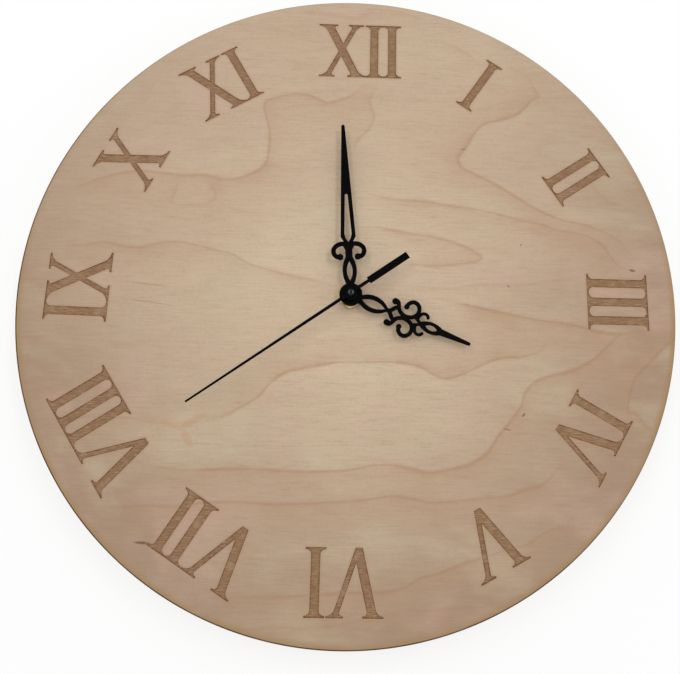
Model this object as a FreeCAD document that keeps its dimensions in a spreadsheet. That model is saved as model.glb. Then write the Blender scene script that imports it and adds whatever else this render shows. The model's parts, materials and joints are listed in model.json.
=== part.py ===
import FreeCAD, Part

import math
import os
import re

import Sketcher
from FreeCAD import Placement, Rotation, Vector

# Quartz wall clock with a round plywood dial.
#
# Every piece is drawn lying on its back: x runs to the right, y runs up the dial and the height z is counted
# from the wall, so height 0 is the back of the movement. The piece's Placement then stands it up, so that the
# dial faces -Y and +Z is up. The hands' axis is x = 0, y = 0.

# Driving dimensions in millimetres, counts, angles in degrees and shares. Angles on the dial run clockwise
# from the top; angles inside the movement run anticlockwise from the right. A tooth has shares of its module and
# of half its pitch.
SIZES = {
    # Plywood dial
    "dial_diameter": 300.0,
    "dial_thickness": 4.0,
    "dial_hole_radius": 4.2,
    "engraving_depth": 0.35,
    # Engraved numerals
    "numeral_height": 28.2,
    "numeral_foot_radius": 108.8,
    "letter_stem": 3.9,
    "letter_hairline": 2.35,
    "letter_serif_reach": 2.4,
    "letter_serif_thickness": 0.8,
    "letter_bracket": 2.0,
    "letter_v_spread": 16.2,
    "letter_v_foot": 3.0,
    "letter_x_foot_spread": 14.6,
    "letter_x_top_spread": 13.7,
    # Movement case
    "movement_width": 53.6,
    "case_wall": 1.2,
    "case_corner": 3.0,
    "finger_notch_width": 16.0,
    "finger_notch_depth": 5.0,
    "slot_gap": 0.2,
    # Clearances
    "fit_gap": 0.1,
    "running_gap": 0.05,
    "overrun": 1.0,
    # Battery and its contacts
    "battery_radius": 7.0,
    "battery_can_length": 48.6,
    "battery_sleeve_thickness": 0.15,
    "battery_sleeve_inset": 0.8,
    "battery_button_radius": 2.75,
    "battery_button_height": 1.4,
    "battery_clearance": 0.25,
    "contact_thickness": 0.3,
    "contact_leaf_room": 3.2,
    "contact_width": 8.0,
    "contact_tail_width": 2.4,
    "contact_tab": 3.0,
    # Hanger, washers, nut and stem
    "hanger_thickness": 0.8,
    "hanger_drop": 14.0,
    "hanger_width": 18.0,
    "hanger_eye_radius": 3.5,
    "hanger_eye_above_case": 6.0,
    "rubber_washer_radius": 15.0,
    "rubber_washer_thickness": 1.0,
    "stem_radius": 3.95,
    "stem_flange_radius": 6.0,
    "stem_flange_thickness": 0.8,
    "stem_above_nut": 0.6,
    "thread_pitch": 0.75,
    "thread_depth": 0.25,
    "brass_washer_radius": 5.2,
    "brass_washer_thickness": 0.5,
    "nut_across_flats": 10.5,
    "nut_thickness": 2.2,
    "nut_turn_angle": 3.0,
    "nut_chamfer": 0.15,
    "nut_chamfer_angle": 30.0,
    # Spindles and the hands' places on them
    "hour_pipe_radius": 2.5,
    "minute_pipe_radius": 1.75,
    "minute_pipe_tail": 0.2,
    "arbor_radius": 0.5,
    "pinion_arbor_radius": 0.4,
    "hour_pipe_above_stem": 1.9,
    "minute_pipe_above_hour": 1.6,
    "arbor_above_minute": 3.2,
    "hand_gap": 0.2,
    # Hands
    "hour_hand_length": 58.0,
    "hour_hand_thickness": 0.45,
    "hour_hand_angle": 111.8,
    "hour_hand_stroke": 1.9,
    "minute_hand_length": 81.6,
    "minute_hand_thickness": 0.45,
    "minute_hand_angle": 356.2,
    "minute_hand_stroke": 2.1,
    "hand_disc_radius": 5.15,
    "hand_tip_width": 1.6,
    "second_hand_length": 85.2,
    "second_hand_thickness": 0.35,
    "second_hand_angle": 234.7,
    "second_hand_width": 1.55,
    "second_hand_tip_width": 0.85,
    "second_tail_length": 30.9,
    "second_weight_length": 21.3,
    "second_weight_width": 3.3,
    "second_disc_radius": 2.6,
    "second_hand_rise": 2.2,
    "collet_wall": 0.85,
    "collet_lip": 0.3,
    "collet_lip_width": 0.7,
    "second_cap_radius": 1.55,
    "second_cap_top": 0.5,
    "second_cap_round": 0.35,
    # Rear cover and train plate
    "cover_thickness": 1.2,
    "bearing_boss_radius": 1.6,
    "bearing_boss_height": 1.0,
    "bearing_depth": 1.4,
    "train_plate_thickness": 1.0,
    "train_plate_left": 24.0,
    "train_plate_right": 17.5,
    "train_plate_below": 9.3,
    "train_plate_above": 21.5,
    "pillar_radius": 1.5,
    "pillar_inset": 2.3,
    "pivot_gap": 0.2,
    "level_gap": 0.3,
    # Gear train
    "tooth_addendum_share": 0.85,
    "tooth_dedendum_share": 1.15,
    "tooth_fullness_share": 0.74,
    "tooth_tip_share": 0.42,
    "wheel_thickness": 0.6,
    "pinion_overrun": 0.3,
    "third_module": 0.25,
    "third_wheel_teeth": 60,
    "third_pinion_teeth": 8,
    "third_angle": 150.0,
    "seconds_pinion_teeth": 8,
    "seconds_wheel_teeth": 32,
    "seconds_module": 0.435,
    "centre_wheel_teeth": 64,
    "intermediate_wheel_teeth": 60,
    "intermediate_pinion_teeth": 8,
    "intermediate_module": 0.2,
    "intermediate_angle": 20.0,
    "rotor_pinion_teeth": 8,
    "rotor_angle": 50.0,
    "motion_module": 0.4,
    "cannon_pinion_teeth": 12,
    "motion_wheel_teeth": 48,
    "motion_pinion_teeth": 15,
    "motion_angle": 120.0,
    "motion_post_radius": 1.0,
    "hour_wheel_teeth": 45,
    "setting_pinion_teeth": 16,
    "setting_angle": 200.0,
    "setting_shaft_radius": 1.0,
    "setting_knob_radius": 4.5,
    "setting_knob_thickness": 2.0,
    "setting_knob_inset": 0.3,
    "setting_knob_floor": 0.5,
    "knob_recess_gap": 0.5,
    "knob_flutes": 24,
    "knob_flute_radius": 0.3,
    # Step motor
    "rotor_magnet_radius": 3.0,
    "rotor_magnet_thickness": 2.2,
    "rotor_air_gap": 0.5,
    "stator_thickness": 0.8,
    "stator_ring": 2.2,
    "stator_bar": 3.2,
    "stator_post_radius": 0.9,
    "coil_from_wall": 5.3,
    "coil_low": -5.5,
    "coil_length": 21.0,
    "core_width": 3.0,
    "core_thickness": 0.8,
    "core_overhang": 3.0,
    "core_air": 0.3,
    "bobbin_wall": 0.3,
    "bobbin_flange": 5.6,
    "bobbin_flange_thickness": 0.8,
    "winding_radius": 2.5,
    # Circuit
    "board_height": 6.0,
    "board_thickness": 0.8,
    "board_width": 7.4,
    "board_side_gap": 0.5,
    "board_post_radius": 1.2,
    "board_post_x": 21.0,
    "chip_radius": 2.6,
    "chip_rise": 1.0,
    "chip_x": -5.0,
    "crystal_radius": 1.0,
    "crystal_length": 6.0,
    "crystal_x": 6.0,
}

# Heights and centres that follow from the driving dimensions.
PLACES = {
    "battery_length": "battery_can_length + battery_button_height",
    "bay_length": "battery_length + contact_thickness + fit_gap + contact_leaf_room",
    "inner_half": "max(bay_length; movement_width) / 2",
    "half_case": "inner_half + case_wall",
    "battery_outer": "battery_radius + battery_sleeve_thickness",
    "battery_y": "battery_clearance + battery_outer - inner_half",
    "battery_height": "battery_clearance + battery_outer",
    "gear_stack": "hour_wheel_top + pinion_overrun + stem_flange_thickness + fit_gap",
    "inner_front": "max(gear_stack; 2 * battery_height)",
    "case_depth": "inner_front + case_wall",
    "bay_top": "battery_y + battery_outer + battery_clearance",
    "gear_space_low": "bay_top + case_wall",
    "battery_right": "inner_half - contact_thickness - fit_gap",
    "battery_left": "battery_right - battery_length",
    "hanger_eye_height": "half_case + hanger_eye_above_case",
    "rubber_back": "case_depth + hanger_thickness",
    "dial_back": "rubber_back + rubber_washer_thickness",
    "dial_front": "dial_back + dial_thickness",
    "nut_back": "dial_front + brass_washer_thickness",
    "stem_front": "nut_back + nut_thickness + stem_above_nut",
    "hour_pipe_front": "stem_front + hour_pipe_above_stem",
    "minute_pipe_front": "hour_pipe_front + minute_pipe_above_hour",
    "arbor_front": "minute_pipe_front + arbor_above_minute",
    "hour_collet_back": "stem_front + hand_gap",
    "minute_collet_back": "hour_pipe_front + hand_gap",
    "second_collet_back": "minute_pipe_front + hand_gap",
    "second_lip_back": "second_collet_back + second_hand_rise",
    "stem_bore": "hour_pipe_radius + running_gap",
    "hour_collet_radius": "hour_pipe_radius + collet_wall",
    "minute_collet_radius": "minute_pipe_radius + collet_wall",
    "boss_top": "cover_thickness + bearing_boss_height",
    "arbor_back": "boss_top - bearing_depth + fit_gap",
    "rotor_magnet_height": "boss_top + pivot_gap",
    "rotor_magnet_top": "rotor_magnet_height + rotor_magnet_thickness",
    "stator_height": "rotor_magnet_height + (rotor_magnet_thickness - stator_thickness) / 2",
    "level_step": "pinion_overrun + level_gap",
    "intermediate_wheel_height": "rotor_magnet_top + level_step",
    "seconds_wheel_height": "intermediate_wheel_height + wheel_thickness + level_step",
    "third_wheel_height": "seconds_wheel_height + wheel_thickness + level_step",
    "centre_wheel_height": "third_wheel_height + wheel_thickness + level_step",
    "train_plate_height": "centre_wheel_height + wheel_thickness + level_step",
    "plate_top": "train_plate_height + train_plate_thickness",
    "motion_wheel_height": "plate_top + level_step",
    "hour_wheel_height": "motion_wheel_height + wheel_thickness + level_step",
    "hour_wheel_top": "hour_wheel_height + wheel_thickness",
    "pivot_front": "plate_top - pivot_gap",
    "third_distance": "third_module * (third_wheel_teeth + seconds_pinion_teeth) / 2",
    "centre_module": "2 * third_distance / (third_pinion_teeth + centre_wheel_teeth)",
    "third_x": "third_distance * cos(third_angle)",
    "third_y": "third_distance * sin(third_angle)",
    "intermediate_distance": "seconds_module * (seconds_wheel_teeth + intermediate_pinion_teeth) / 2",
    "intermediate_x": "intermediate_distance * cos(intermediate_angle)",
    "intermediate_y": "intermediate_distance * sin(intermediate_angle)",
    "rotor_distance": "intermediate_module * (intermediate_wheel_teeth + rotor_pinion_teeth) / 2",
    "rotor_x": "intermediate_x + rotor_distance * cos(rotor_angle)",
    "rotor_y": "intermediate_y + rotor_distance * sin(rotor_angle)",
    "motion_distance": "motion_module * (motion_wheel_teeth + cannon_pinion_teeth) / 2",
    "motion_pinion_module": "2 * motion_distance / (motion_pinion_teeth + hour_wheel_teeth)",
    "motion_x": "motion_distance * cos(motion_angle)",
    "motion_y": "motion_distance * sin(motion_angle)",
    "setting_distance": "motion_module * (motion_wheel_teeth + setting_pinion_teeth) / 2",
    "setting_x": "motion_x + setting_distance * cos(setting_angle)",
    "setting_y": "motion_y + setting_distance * sin(setting_angle)",
    "knob_front": "setting_knob_inset + setting_knob_thickness",
    "recess_floor": "knob_front + hand_gap",
    "coil_x": "inner_half - coil_from_wall",
    "coil_high": "coil_low + coil_length",
    "core_back": "stator_height + stator_thickness",
    "coil_height": "core_back + core_thickness / 2",
    "stator_inner": "rotor_magnet_radius + rotor_air_gap",
    "stator_outer": "stator_inner + stator_ring",
    "board_front": "board_height + board_thickness",
    "board_low": "inner_half - fit_gap - board_width",
    "board_y": "board_low + board_width / 2",
}

# Where the numerals' letters stand: for each hour its tilt in degrees, clockwise, how far it stands out from
# the foot circle, and its letters from left to right, read with their tops outward. A letter lies as far to
# the right of the hour's own line as its share says. All distances are shares of the numeral's height, and
# keep the small errors of the real clock's layout.
NUMERAL_SHARES = {
    12: (-0.1, 0.023, (("X", -0.238), ("I", 0.320), ("I", 0.631))),
    1: (4.0, 0.005, (("I", -0.037),)),
    2: (-3.7, -0.011, (("I", -0.138), ("I", 0.170))),
    3: (0.2, 0.010, (("I", -0.319), ("I", -0.006), ("I", 0.301))),
    4: (-0.1, 0.006, (("I", -0.436), ("V", 0.169))),
    5: (1.4, -0.012, (("V", -0.015),)),
    6: (0.3, 0.005, (("V", -0.142), ("I", 0.445))),
    7: (2.5, -0.005, (("V", -0.409), ("I", 0.173), ("I", 0.472))),
    8: (-3.5, 0.010, (("V", -0.446), ("I", 0.134), ("I", 0.428), ("I", 0.725))),
    9: (1.3, 0.008, (("I", -0.325), ("X", 0.233))),
    10: (-3.6, -0.028, (("X", 0.108),)),
    11: (-0.8, -0.022, (("X", -0.305), ("I", 0.260))),
}

# The V's foot lies this share of its spread to the left of its middle.
V_FOOT_SHARE = 0.11

# Hour hand, as shares of its length: along the hand from the axis, then out to one side.
HOUR_LENS_SHARES = (0.048, 0.318, 0.067)
HOUR_LENS_SLOT_SHARES = (0.094, 0.286, 0.030)
HOUR_SCROLL_SHARES = (
    (0.437, 0.084),
    (0.447, 0.117),
    (0.479, 0.139),
    (0.517, 0.128),
    (0.538, 0.091),
    (0.532, 0.050),
    (0.503, 0.022),
    (0.460, 0.010),
    (0.412, 0.022),
    (0.384, 0.052),
    (0.367, 0.087),
    (0.350, 0.0985),
)
HOUR_HOOK_SHARES = (0.339, 0.0900)
HOUR_SCROLL_BALL_SHARE = 0.021
HOUR_HOOK_BALL_SHARE = 0.0255
HOUR_TIE_SHARES = ((0.306, 0.000), (0.336, 0.014), (0.362, 0.044), (0.392, 0.044))
HOUR_FRONT_TIE_SHARES = ((0.520, 0.036), (0.552, 0.020), (0.588, 0.000))
HOUR_CURL_SHARES = ((0.552, 0.020), (0.556, 0.056), (0.578, 0.083), (0.604, 0.084), (0.622, 0.066))
HOUR_CURL_STROKE_SHARE = 0.0255
HOUR_SMALL_LENS_SHARES = (0.560, 0.792, 0.0465)
HOUR_SMALL_SLOT_SHARES = (0.626, 0.722, 0.0195)
HOUR_POINT_SHARES = (0.735, 0.0275)

# Minute hand, as shares of its length.
MINUTE_LENS_SHARES = (0.024, 0.240, 0.0395)
MINUTE_SLOT_LENS_SHARES = (0.076, 0.186, 0.0155)
MINUTE_WAIST_SHARES = ((0.195, 0.0200), (0.252, 0.0200), (0.284, 0.0360))
MINUTE_SCROLL_SHARES = (
    (0.278, 0.000),
    (0.287, 0.028),
    (0.283, 0.056),
    (0.265, 0.079),
    (0.239, 0.085),
    (0.216, 0.070),
    (0.212, 0.049),
)
MINUTE_SCROLL_BALL_SHARE = 0.0180
MINUTE_BLADE_SHARES = ((0.278, 0.010), (0.302, 0.0275), (0.328, 0.0425))
MINUTE_SLOT_SHARES = ((0.300, 0.002), (0.318, 0.0135), (0.345, 0.0198), (0.572, 0.0080))

QUARTER = 90.0
HALF_TURN = 180.0
FULL_TURN = 360.0
HOUR_ANGLE = 30.0
HEX_SIDES = 6
BRACKET_STEPS = 4
STATIONS_PER_SPAN = 4

# How far a ribbon's inner edge may come towards the middle of a bend, as a share of the bend's radius.
INNER_BEND_SHARE = 0.85
ALONG_X = Rotation(Vector(0, 1, 0), QUARTER)
ALONG_Y = Rotation(Vector(1, 0, 0), -QUARTER)
STAND_UP = Rotation(Vector(1, 0, 0), QUARTER)

doc = FreeCAD.newDocument("WallClock")


def formula(text):
    """An expression in which each word that names a cell of a sheet is led to that cell."""

    def lead(word):
        if word[0] in SIZES:
            return f"Sizes.{word[0]}"
        if word[0] in PLACES:
            return f"Places.{word[0]}"
        return word[0]

    return re.sub(r"[a-z_]+", lead, text)


sizes_sheet = doc.addObject("Spreadsheet::Sheet", "Sizes")
for row, (alias, number) in enumerate(SIZES.items(), start=1):
    sizes_sheet.set(f"A{row}", alias)
    sizes_sheet.set(f"B{row}", str(number))
    sizes_sheet.setAlias(f"B{row}", alias)
doc.recompute()

places_sheet = doc.addObject("Spreadsheet::Sheet", "Places")
for row, (alias, text) in enumerate(PLACES.items(), start=1):
    places_sheet.set(f"A{row}", alias)
    places_sheet.setAlias(f"B{row}", alias)
for row, text in enumerate(PLACES.values(), start=1):
    places_sheet.set(f"B{row}", "=" + formula(text).replace("Places.", ""))
doc.recompute()

parts = []


def size(alias):
    """The number in one cell of either sheet."""
    sheet = sizes_sheet if alias in SIZES else places_sheet
    return float(sheet.get(alias))


def finished(obj, label, x="0", y="0", height="0", turn=Rotation()):
    """Name a sub-part, stand it up on its place and keep it for writing."""
    obj.Label = label
    obj.Placement = Placement(Vector(), STAND_UP.multiply(turn))
    if (x, y, height) != ("0", "0", "0"):
        obj.setExpression("Placement.Base.x", formula(x))
        obj.setExpression("Placement.Base.y", formula(f"-({height})"))
        obj.setExpression("Placement.Base.z", formula(y))
    parts.append(obj)
    return obj


# Primitives and booleans


def placed(obj, x, y, height, turn, lengths):
    """Bind a primitive's lengths and its place to expressions."""
    obj.Placement = Placement(Vector(), turn)
    places = {"Placement.Base.x": x, "Placement.Base.y": y, "Placement.Base.z": height}
    for path, text in {**lengths, **places}.items():
        obj.setExpression(path, formula(text))
    return obj


def cylinder(name, radius, length, height="0", x="0", y="0", turn=Rotation()):
    bar = doc.addObject("Part::Cylinder", name)
    return placed(bar, x, y, height, turn, {"Radius": radius, "Height": length})


def box(name, left, low, height, width, depth, rise):
    """A block from its left, lower, back corner."""
    block = doc.addObject("Part::Box", name)
    return placed(block, left, low, height, Rotation(), {"Length": width, "Width": depth, "Height": rise})


def cut(name, base, tool):
    result = doc.addObject("Part::Cut", name)
    result.Base = base
    result.Tool = tool
    return result


def fuse(name, *shapes):
    result = doc.addObject("Part::MultiFuse", name)
    result.Shapes = list(shapes)
    return result


def common(name, *shapes):
    result = doc.addObject("Part::MultiCommon", name)
    result.Shapes = list(shapes)
    return result


def washer(label, radius, bore, height, thickness):
    """A flat ring: a disc less a longer bar."""
    disc = cylinder(f"{label}_disc", radius, thickness, height)
    hole = cylinder(f"{label}_hole", bore, f"{thickness} + 2 * overrun", f"{height} - overrun")
    return finished(cut(label, disc, hole), label)


def shaped(label, shape, x="0", y="0", turn=Rotation()):
    """A sub-part whose shape is worked out from the sheets in this file, drawn about its own axis."""
    piece = doc.addObject("Part::Feature", label)
    piece.Shape = shape
    return finished(piece, label, x, y, "0", turn)


# Sketched bodies


def sketch_at(body, name, height):
    """A sketch on the body's own XY plane, raised to a height given as an expression."""
    sketch = body.newObject("Sketcher::SketchObject", name)
    plane = next(item for item in body.Origin.OriginFeatures if item.Role == "XY_Plane")
    sketch.AttachmentSupport = [(plane, "")]
    sketch.MapMode = "FlatFace"
    sketch.setExpression("AttachmentOffset.Base.z", formula(height))
    return sketch


def hold(sketch, kind, where, text):
    """Add a dimension and bind it to an expression; the number 1 is replaced by its value."""
    place = sketch.addConstraint(Sketcher.Constraint(kind, *where, 1.0))
    sketch.setExpression(f"Constraints[{place}]", formula(text))


def draw_rectangle(sketch, left, right, low, high):
    """Four lines whose sides lie at the given distances from the axis."""
    first = sketch.GeometryCount
    corners = [Vector(0, 0), Vector(1, 0), Vector(1, 1), Vector(0, 1)]
    for side in range(4):
        sketch.addGeometry(Part.LineSegment(corners[side], corners[(side + 1) % 4]))
    for side in range(4):
        following = first + (side + 1) % 4
        sketch.addConstraint(Sketcher.Constraint("Coincident", first + side, 2, following, 1))
    for side, kind in enumerate(("Horizontal", "Vertical", "Horizontal", "Vertical")):
        sketch.addConstraint(Sketcher.Constraint(kind, first + side))
    hold(sketch, "DistanceX", (-1, 1, first, 1), left)
    hold(sketch, "DistanceX", (-1, 1, first, 2), right)
    hold(sketch, "DistanceY", (-1, 1, first, 1), low)
    hold(sketch, "DistanceY", (-1, 1, first + 2, 1), high)


def draw_circle(sketch, x, y, radius):
    circle = sketch.addGeometry(Part.Circle(Vector(1, 1), Vector(0, 0, 1), 1))
    hold(sketch, "DistanceX", (-1, 1, circle, 3), x)
    hold(sketch, "DistanceY", (-1, 1, circle, 3), y)
    hold(sketch, "Radius", (circle,), radius)


def extruded(kind, body, name, height, length, outlines):
    """A pad or pocket that runs towards the dial from the height of its sketch."""
    sketch = sketch_at(body, f"{name}_sketch", height)
    for draw, *dimensions in outlines:
        draw(sketch, *dimensions)
    feature = body.newObject(f"PartDesign::{kind}", name)
    feature.Profile = sketch
    feature.setExpression("Length", formula(length))
    sketch.Visibility = False
    return feature


def pad(body, name, height, length, *outlines):
    return extruded("Pad", body, name, height, length, outlines)


def pocket(body, name, height, length, *outlines):
    feature = extruded("Pocket", body, name, height, length, outlines)
    feature.Reversed = True
    return feature


def upright_edges(feature):
    """Names of the straight edges that run the height of a feature."""
    names = []
    for number, edge in enumerate(feature.Shape.Edges, start=1):
        run = edge.Vertexes[-1].Point - edge.Vertexes[0].Point
        if abs(run.z) > abs(run.x) + abs(run.y):
            names.append(f"Edge{number}")
    return names


# Flat outlines


def polygon(points, height, thickness):
    """A straight-sided plate from points (x, y)."""
    corners = [Vector(x, y, height) for x, y in points]
    face = Part.Face(Part.makePolygon(corners + corners[:1]))
    return face.extrude(Vector(0, 0, thickness))


def plate_of_edges(edges, height, thickness):
    """A plate inside a closed run of edges drawn at height 0."""
    face = Part.Face(Part.Wire(edges))
    face.translate(Vector(0, 0, height))
    return face.extrude(Vector(0, 0, thickness))


def disc(x, y, radius, height, thickness):
    return Part.makeCylinder(radius, thickness, Vector(x, y, height))


def lens(shares, length, height, thickness):
    """Two equal arcs that meet in a point at each end, on the line x = 0."""
    start, end, half_width = (share * length for share in shares)
    middle = (start + end) / 2
    right = Part.Arc(Vector(0, start), Vector(half_width, middle), Vector(0, end))
    left = Part.Arc(Vector(0, end), Vector(-half_width, middle), Vector(0, start))
    return plate_of_edges([right.toShape(), left.toShape()], height, thickness)


def band(shares, length, width, height, thickness):
    """A ribbon along the smooth line through a few points, given along and out to the side.

    Its width is the same all along, but its inner edge stays short of the middle of a tight bend.
    """
    line = Part.BSplineCurve()
    line.interpolate([Vector(side * length, along * length) for along, side in shares])
    stations = (len(shares) - 1) * STATIONS_PER_SPAN
    first, last = line.FirstParameter, line.LastParameter
    half = width / 2
    sides = {1: [], -1: []}
    for station in range(stations + 1):
        at = first + (last - first) * station / stations
        point, along, turn = line.getD2(at)
        across = Vector(-along.y, along.x).normalize()
        bend = along.cross(turn).z / along.Length**3
        for hand, points in sides.items():
            tightness = half * bend * hand / INNER_BEND_SHARE
            points.append(point + across * (hand * half / max(1, tightness)))
    edges = []
    for points in (sides[1], sides[-1][::-1]):
        edge = Part.BSplineCurve()
        edge.interpolate(points)
        edges.append(edge.toShape())
    ends = [
        Part.LineSegment(sides[1][-1], sides[-1][-1]).toShape(),
        Part.LineSegment(sides[-1][0], sides[1][0]).toShape(),
    ]
    return plate_of_edges([edges[0], ends[0], edges[1], ends[1]], height, thickness)


def mirrored(shape):
    """The same shape on the other side of the hand."""
    return shape.mirror(Vector(), Vector(1, 0, 0))


def both_sides(shapes):
    return shapes + [mirrored(shape) for shape in shapes]


def joined(shapes):
    return shapes[0].multiFuse(shapes[1:]).removeSplitter()


def clockwise(alias):
    """The turn of a hand that points in a named direction."""
    return Rotation(Vector(0, 0, 1), -size(alias))


# Plywood dial with its engraved numerals


def serif(middle, stroke, foot, inward, lean=0):
    """A thin flat bar whose ends sweep into the stroke in quarter ellipses that follow the stroke's lean.

    Inward is 1 at the foot and -1 on top. Lean is how far the stroke moves right for its rise.
    """
    reach = size("letter_serif_reach")
    half = stroke / 2 + reach
    bar = foot + inward * size("letter_serif_thickness")
    rise = inward * size("letter_bracket")
    sweep = []
    for step in range(BRACKET_STEPS + 1):
        share = step / BRACKET_STEPS
        turn = math.radians(QUARTER * share)
        up = bar + rise * (1 - math.cos(turn))
        shift = lean * (up - foot) * share
        sweep.append((half - reach * math.sin(turn), shift, up))
    right = [(middle + shift + out, up) for out, shift, up in sweep]
    left = [(middle + shift - out, up) for out, shift, up in reversed(sweep)]
    return [(middle - half, foot), (middle + half, foot), *right, *left]


def slanted(from_x, to_x, width, top):
    """A stroke from the foot line to the top line, its width measured along the lines."""
    half = width / 2
    return [(from_x - half, 0), (from_x + half, 0), (to_x + half, top), (to_x - half, top)]


def letter_i(middle, top):
    stem = size("letter_stem")
    return [
        slanted(middle, middle, stem, top),
        serif(middle, stem, 0, 1),
        serif(middle, stem, top, -1),
    ]


def letter_x(middle, top):
    stem = size("letter_stem")
    hairline = size("letter_hairline")
    at_foot = size("letter_x_foot_spread") / 2
    at_top = size("letter_x_top_spread") / 2
    lean = (at_foot + at_top) / top
    slope = math.hypot(at_foot + at_top, top) / top
    thick = stem * slope
    thin = hairline * slope
    return [
        slanted(middle + at_foot, middle - at_top, thick, top),
        slanted(middle - at_foot, middle + at_top, thin, top),
        serif(middle - at_foot, thin, 0, 1, lean),
        serif(middle + at_foot, thick, 0, 1, -lean),
        serif(middle - at_top, thick, top, -1, -lean),
        serif(middle + at_top, thin, top, -1, lean),
    ]


def letter_v(middle, top):
    """Outer edges run from the serifs to the flat foot; the parallel inner ones meet above it."""
    reach = size("letter_v_spread") / 2
    foot = middle - V_FOOT_SHARE * size("letter_v_spread")
    half_foot = size("letter_v_foot") / 2
    slope = math.hypot(reach, top) / top
    thick = size("letter_stem") * slope
    thin = size("letter_hairline") * slope
    outer_left = middle - reach - thick / 2
    outer_right = middle + reach + thin / 2
    left_lean = (foot - half_foot - outer_left) / top
    right_lean = (outer_right - foot - half_foot) / top
    crotch = (thick + thin - 2 * half_foot) / (left_lean + right_lean)
    crotch_x = foot - half_foot + thick - left_lean * crotch
    stroke = [
        (outer_left, top),
        (outer_left + thick, top),
        (crotch_x, crotch),
        (outer_right - thin, top),
        (outer_right, top),
        (foot + half_foot, 0),
        (foot - half_foot, 0),
    ]
    return [
        stroke,
        serif(middle - reach, thick, top, -1, -left_lean),
        serif(middle + reach, thin, top, -1, right_lean),
    ]


LETTERS = {"I": letter_i, "V": letter_v, "X": letter_x}


def numeral(hour, height, thickness):
    """One engraved numeral, standing on the foot circle at its hour."""
    tilt, lift, letters = NUMERAL_SHARES[hour]
    tall = size("numeral_height")
    strokes = []
    for letter, share in letters:
        for outline in LETTERS[letter](share * tall, tall):
            strokes.append(polygon(outline, height, thickness))
    shape = joined(strokes)
    shape.rotate(Vector(0, tall / 2, 0), Vector(0, 0, 1), -tilt)
    shape.translate(Vector(0, size("numeral_foot_radius") + lift * tall, 0))
    shape.rotate(Vector(), Vector(0, 0, 1), -hour * HOUR_ANGLE)
    return shape


def make_dial():
    disc_blank = cylinder("dial_blank", "dial_diameter / 2", "dial_thickness", "dial_back")
    hole = cylinder("dial_hole", "dial_hole_radius", "dial_thickness + 2 * overrun", "dial_back - overrun")
    floor = size("dial_front") - size("engraving_depth")
    deep = size("engraving_depth") + size("overrun")
    engraving = doc.addObject("Part::Feature", "engraving")
    engraving.Shape = Part.makeCompound([numeral(hour, floor, deep) for hour in NUMERAL_SHARES])
    finished(cut("dial_plate", cut("dial_drilled", disc_blank, hole), engraving), "dial_plate")


# Case, covers and plates of the movement


def make_case_front():
    body = doc.addObject("PartDesign::Body", "case_front")
    square = (draw_rectangle, "-half_case", "half_case", "-half_case", "half_case")
    block = pad(body, "case_block", "0", "case_depth", square)
    doc.recompute()
    corners = body.newObject("PartDesign::Fillet", "case_corners")
    corners.Base = (block, upright_edges(block))
    corners.setExpression("Radius", formula("case_corner"))
    gear_space = (draw_rectangle, "-inner_half", "inner_half", "gear_space_low", "inner_half")
    pocket(body, "gear_space", "0", "inner_front", gear_space)
    bay = (draw_rectangle, "-inner_half", "inner_half", "-inner_half", "bay_top")
    pocket(body, "battery_bay", "0", "inner_front", bay)
    stem_hole = (draw_circle, "0", "0", "stem_radius + running_gap")
    pocket(body, "stem_hole", "inner_front - overrun", "case_wall + 2 * overrun", stem_hole)
    half_notch = "finger_notch_width / 2"
    notch = (draw_rectangle, f"-{half_notch}", half_notch, "-half_case - overrun", "-inner_half + overrun")
    pocket(body, "finger_notch", "0", "finger_notch_depth", notch)
    inner = "inner_half - contact_thickness - slot_gap"
    across = ("bay_top - overrun", "gear_space_low + overrun")
    slots = (
        (draw_rectangle, inner, "inner_half", *across),
        (draw_rectangle, "-inner_half", f"-({inner})", *across),
    )
    pocket(body, "contact_slots", "board_front - slot_gap", "contact_tail_width + 2 * slot_gap", *slots)
    finished(body, "case_front")


def make_rear_cover():
    body = doc.addObject("PartDesign::Body", "rear_cover")
    edge = "inner_half - fit_gap"
    outline = (draw_rectangle, f"-({edge})", edge, "gear_space_low + fit_gap", edge)
    pad(body, "cover_plate", "0", "cover_thickness", outline)
    bearings = {
        "seconds": ("0", "0", "arbor_radius"),
        "third": ("third_x", "third_y", "pinion_arbor_radius"),
        "intermediate": ("intermediate_x", "intermediate_y", "arbor_radius"),
        "rotor": ("rotor_x", "rotor_y", "pinion_arbor_radius"),
    }
    bosses = [(draw_circle, x, y, "bearing_boss_radius") for x, y, _ in bearings.values()]
    pad(body, "bearing_bosses", "cover_thickness", "bearing_boss_height", *bosses)
    holes = [(draw_circle, x, y, f"{radius} + running_gap") for x, y, radius in bearings.values()]
    pocket(body, "bearing_holes", "boss_top - bearing_depth", "bearing_depth", *holes)
    recess = "setting_knob_radius + knob_recess_gap"
    cup = (draw_circle, "setting_x", "setting_y", f"{recess} + case_wall")
    pad(body, "knob_cup", "cover_thickness", "recess_floor", cup)
    pocket(body, "knob_recess", "0", "recess_floor", (draw_circle, "setting_x", "setting_y", recess))
    shaft = (draw_circle, "setting_x", "setting_y", "setting_shaft_radius + running_gap")
    pocket(body, "shaft_hole", "recess_floor - overrun", "cover_thickness + 2 * overrun", shaft)
    board_posts = [(draw_circle, f"{side}board_post_x", "board_y", "board_post_radius") for side in ("-", "")]
    pad(body, "board_posts", "cover_thickness", "board_height - cover_thickness", *board_posts)
    middle = "core_overhang / 2 + core_air / 2"
    stator_posts = [
        (draw_circle, "rotor_x", f"coil_low - {middle}", "stator_post_radius"),
        (draw_circle, "rotor_x", f"coil_high + {middle}", "stator_post_radius"),
    ]
    pad(body, "stator_posts", "cover_thickness", "stator_height - cover_thickness", *stator_posts)
    finished(body, "rear_cover")


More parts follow.
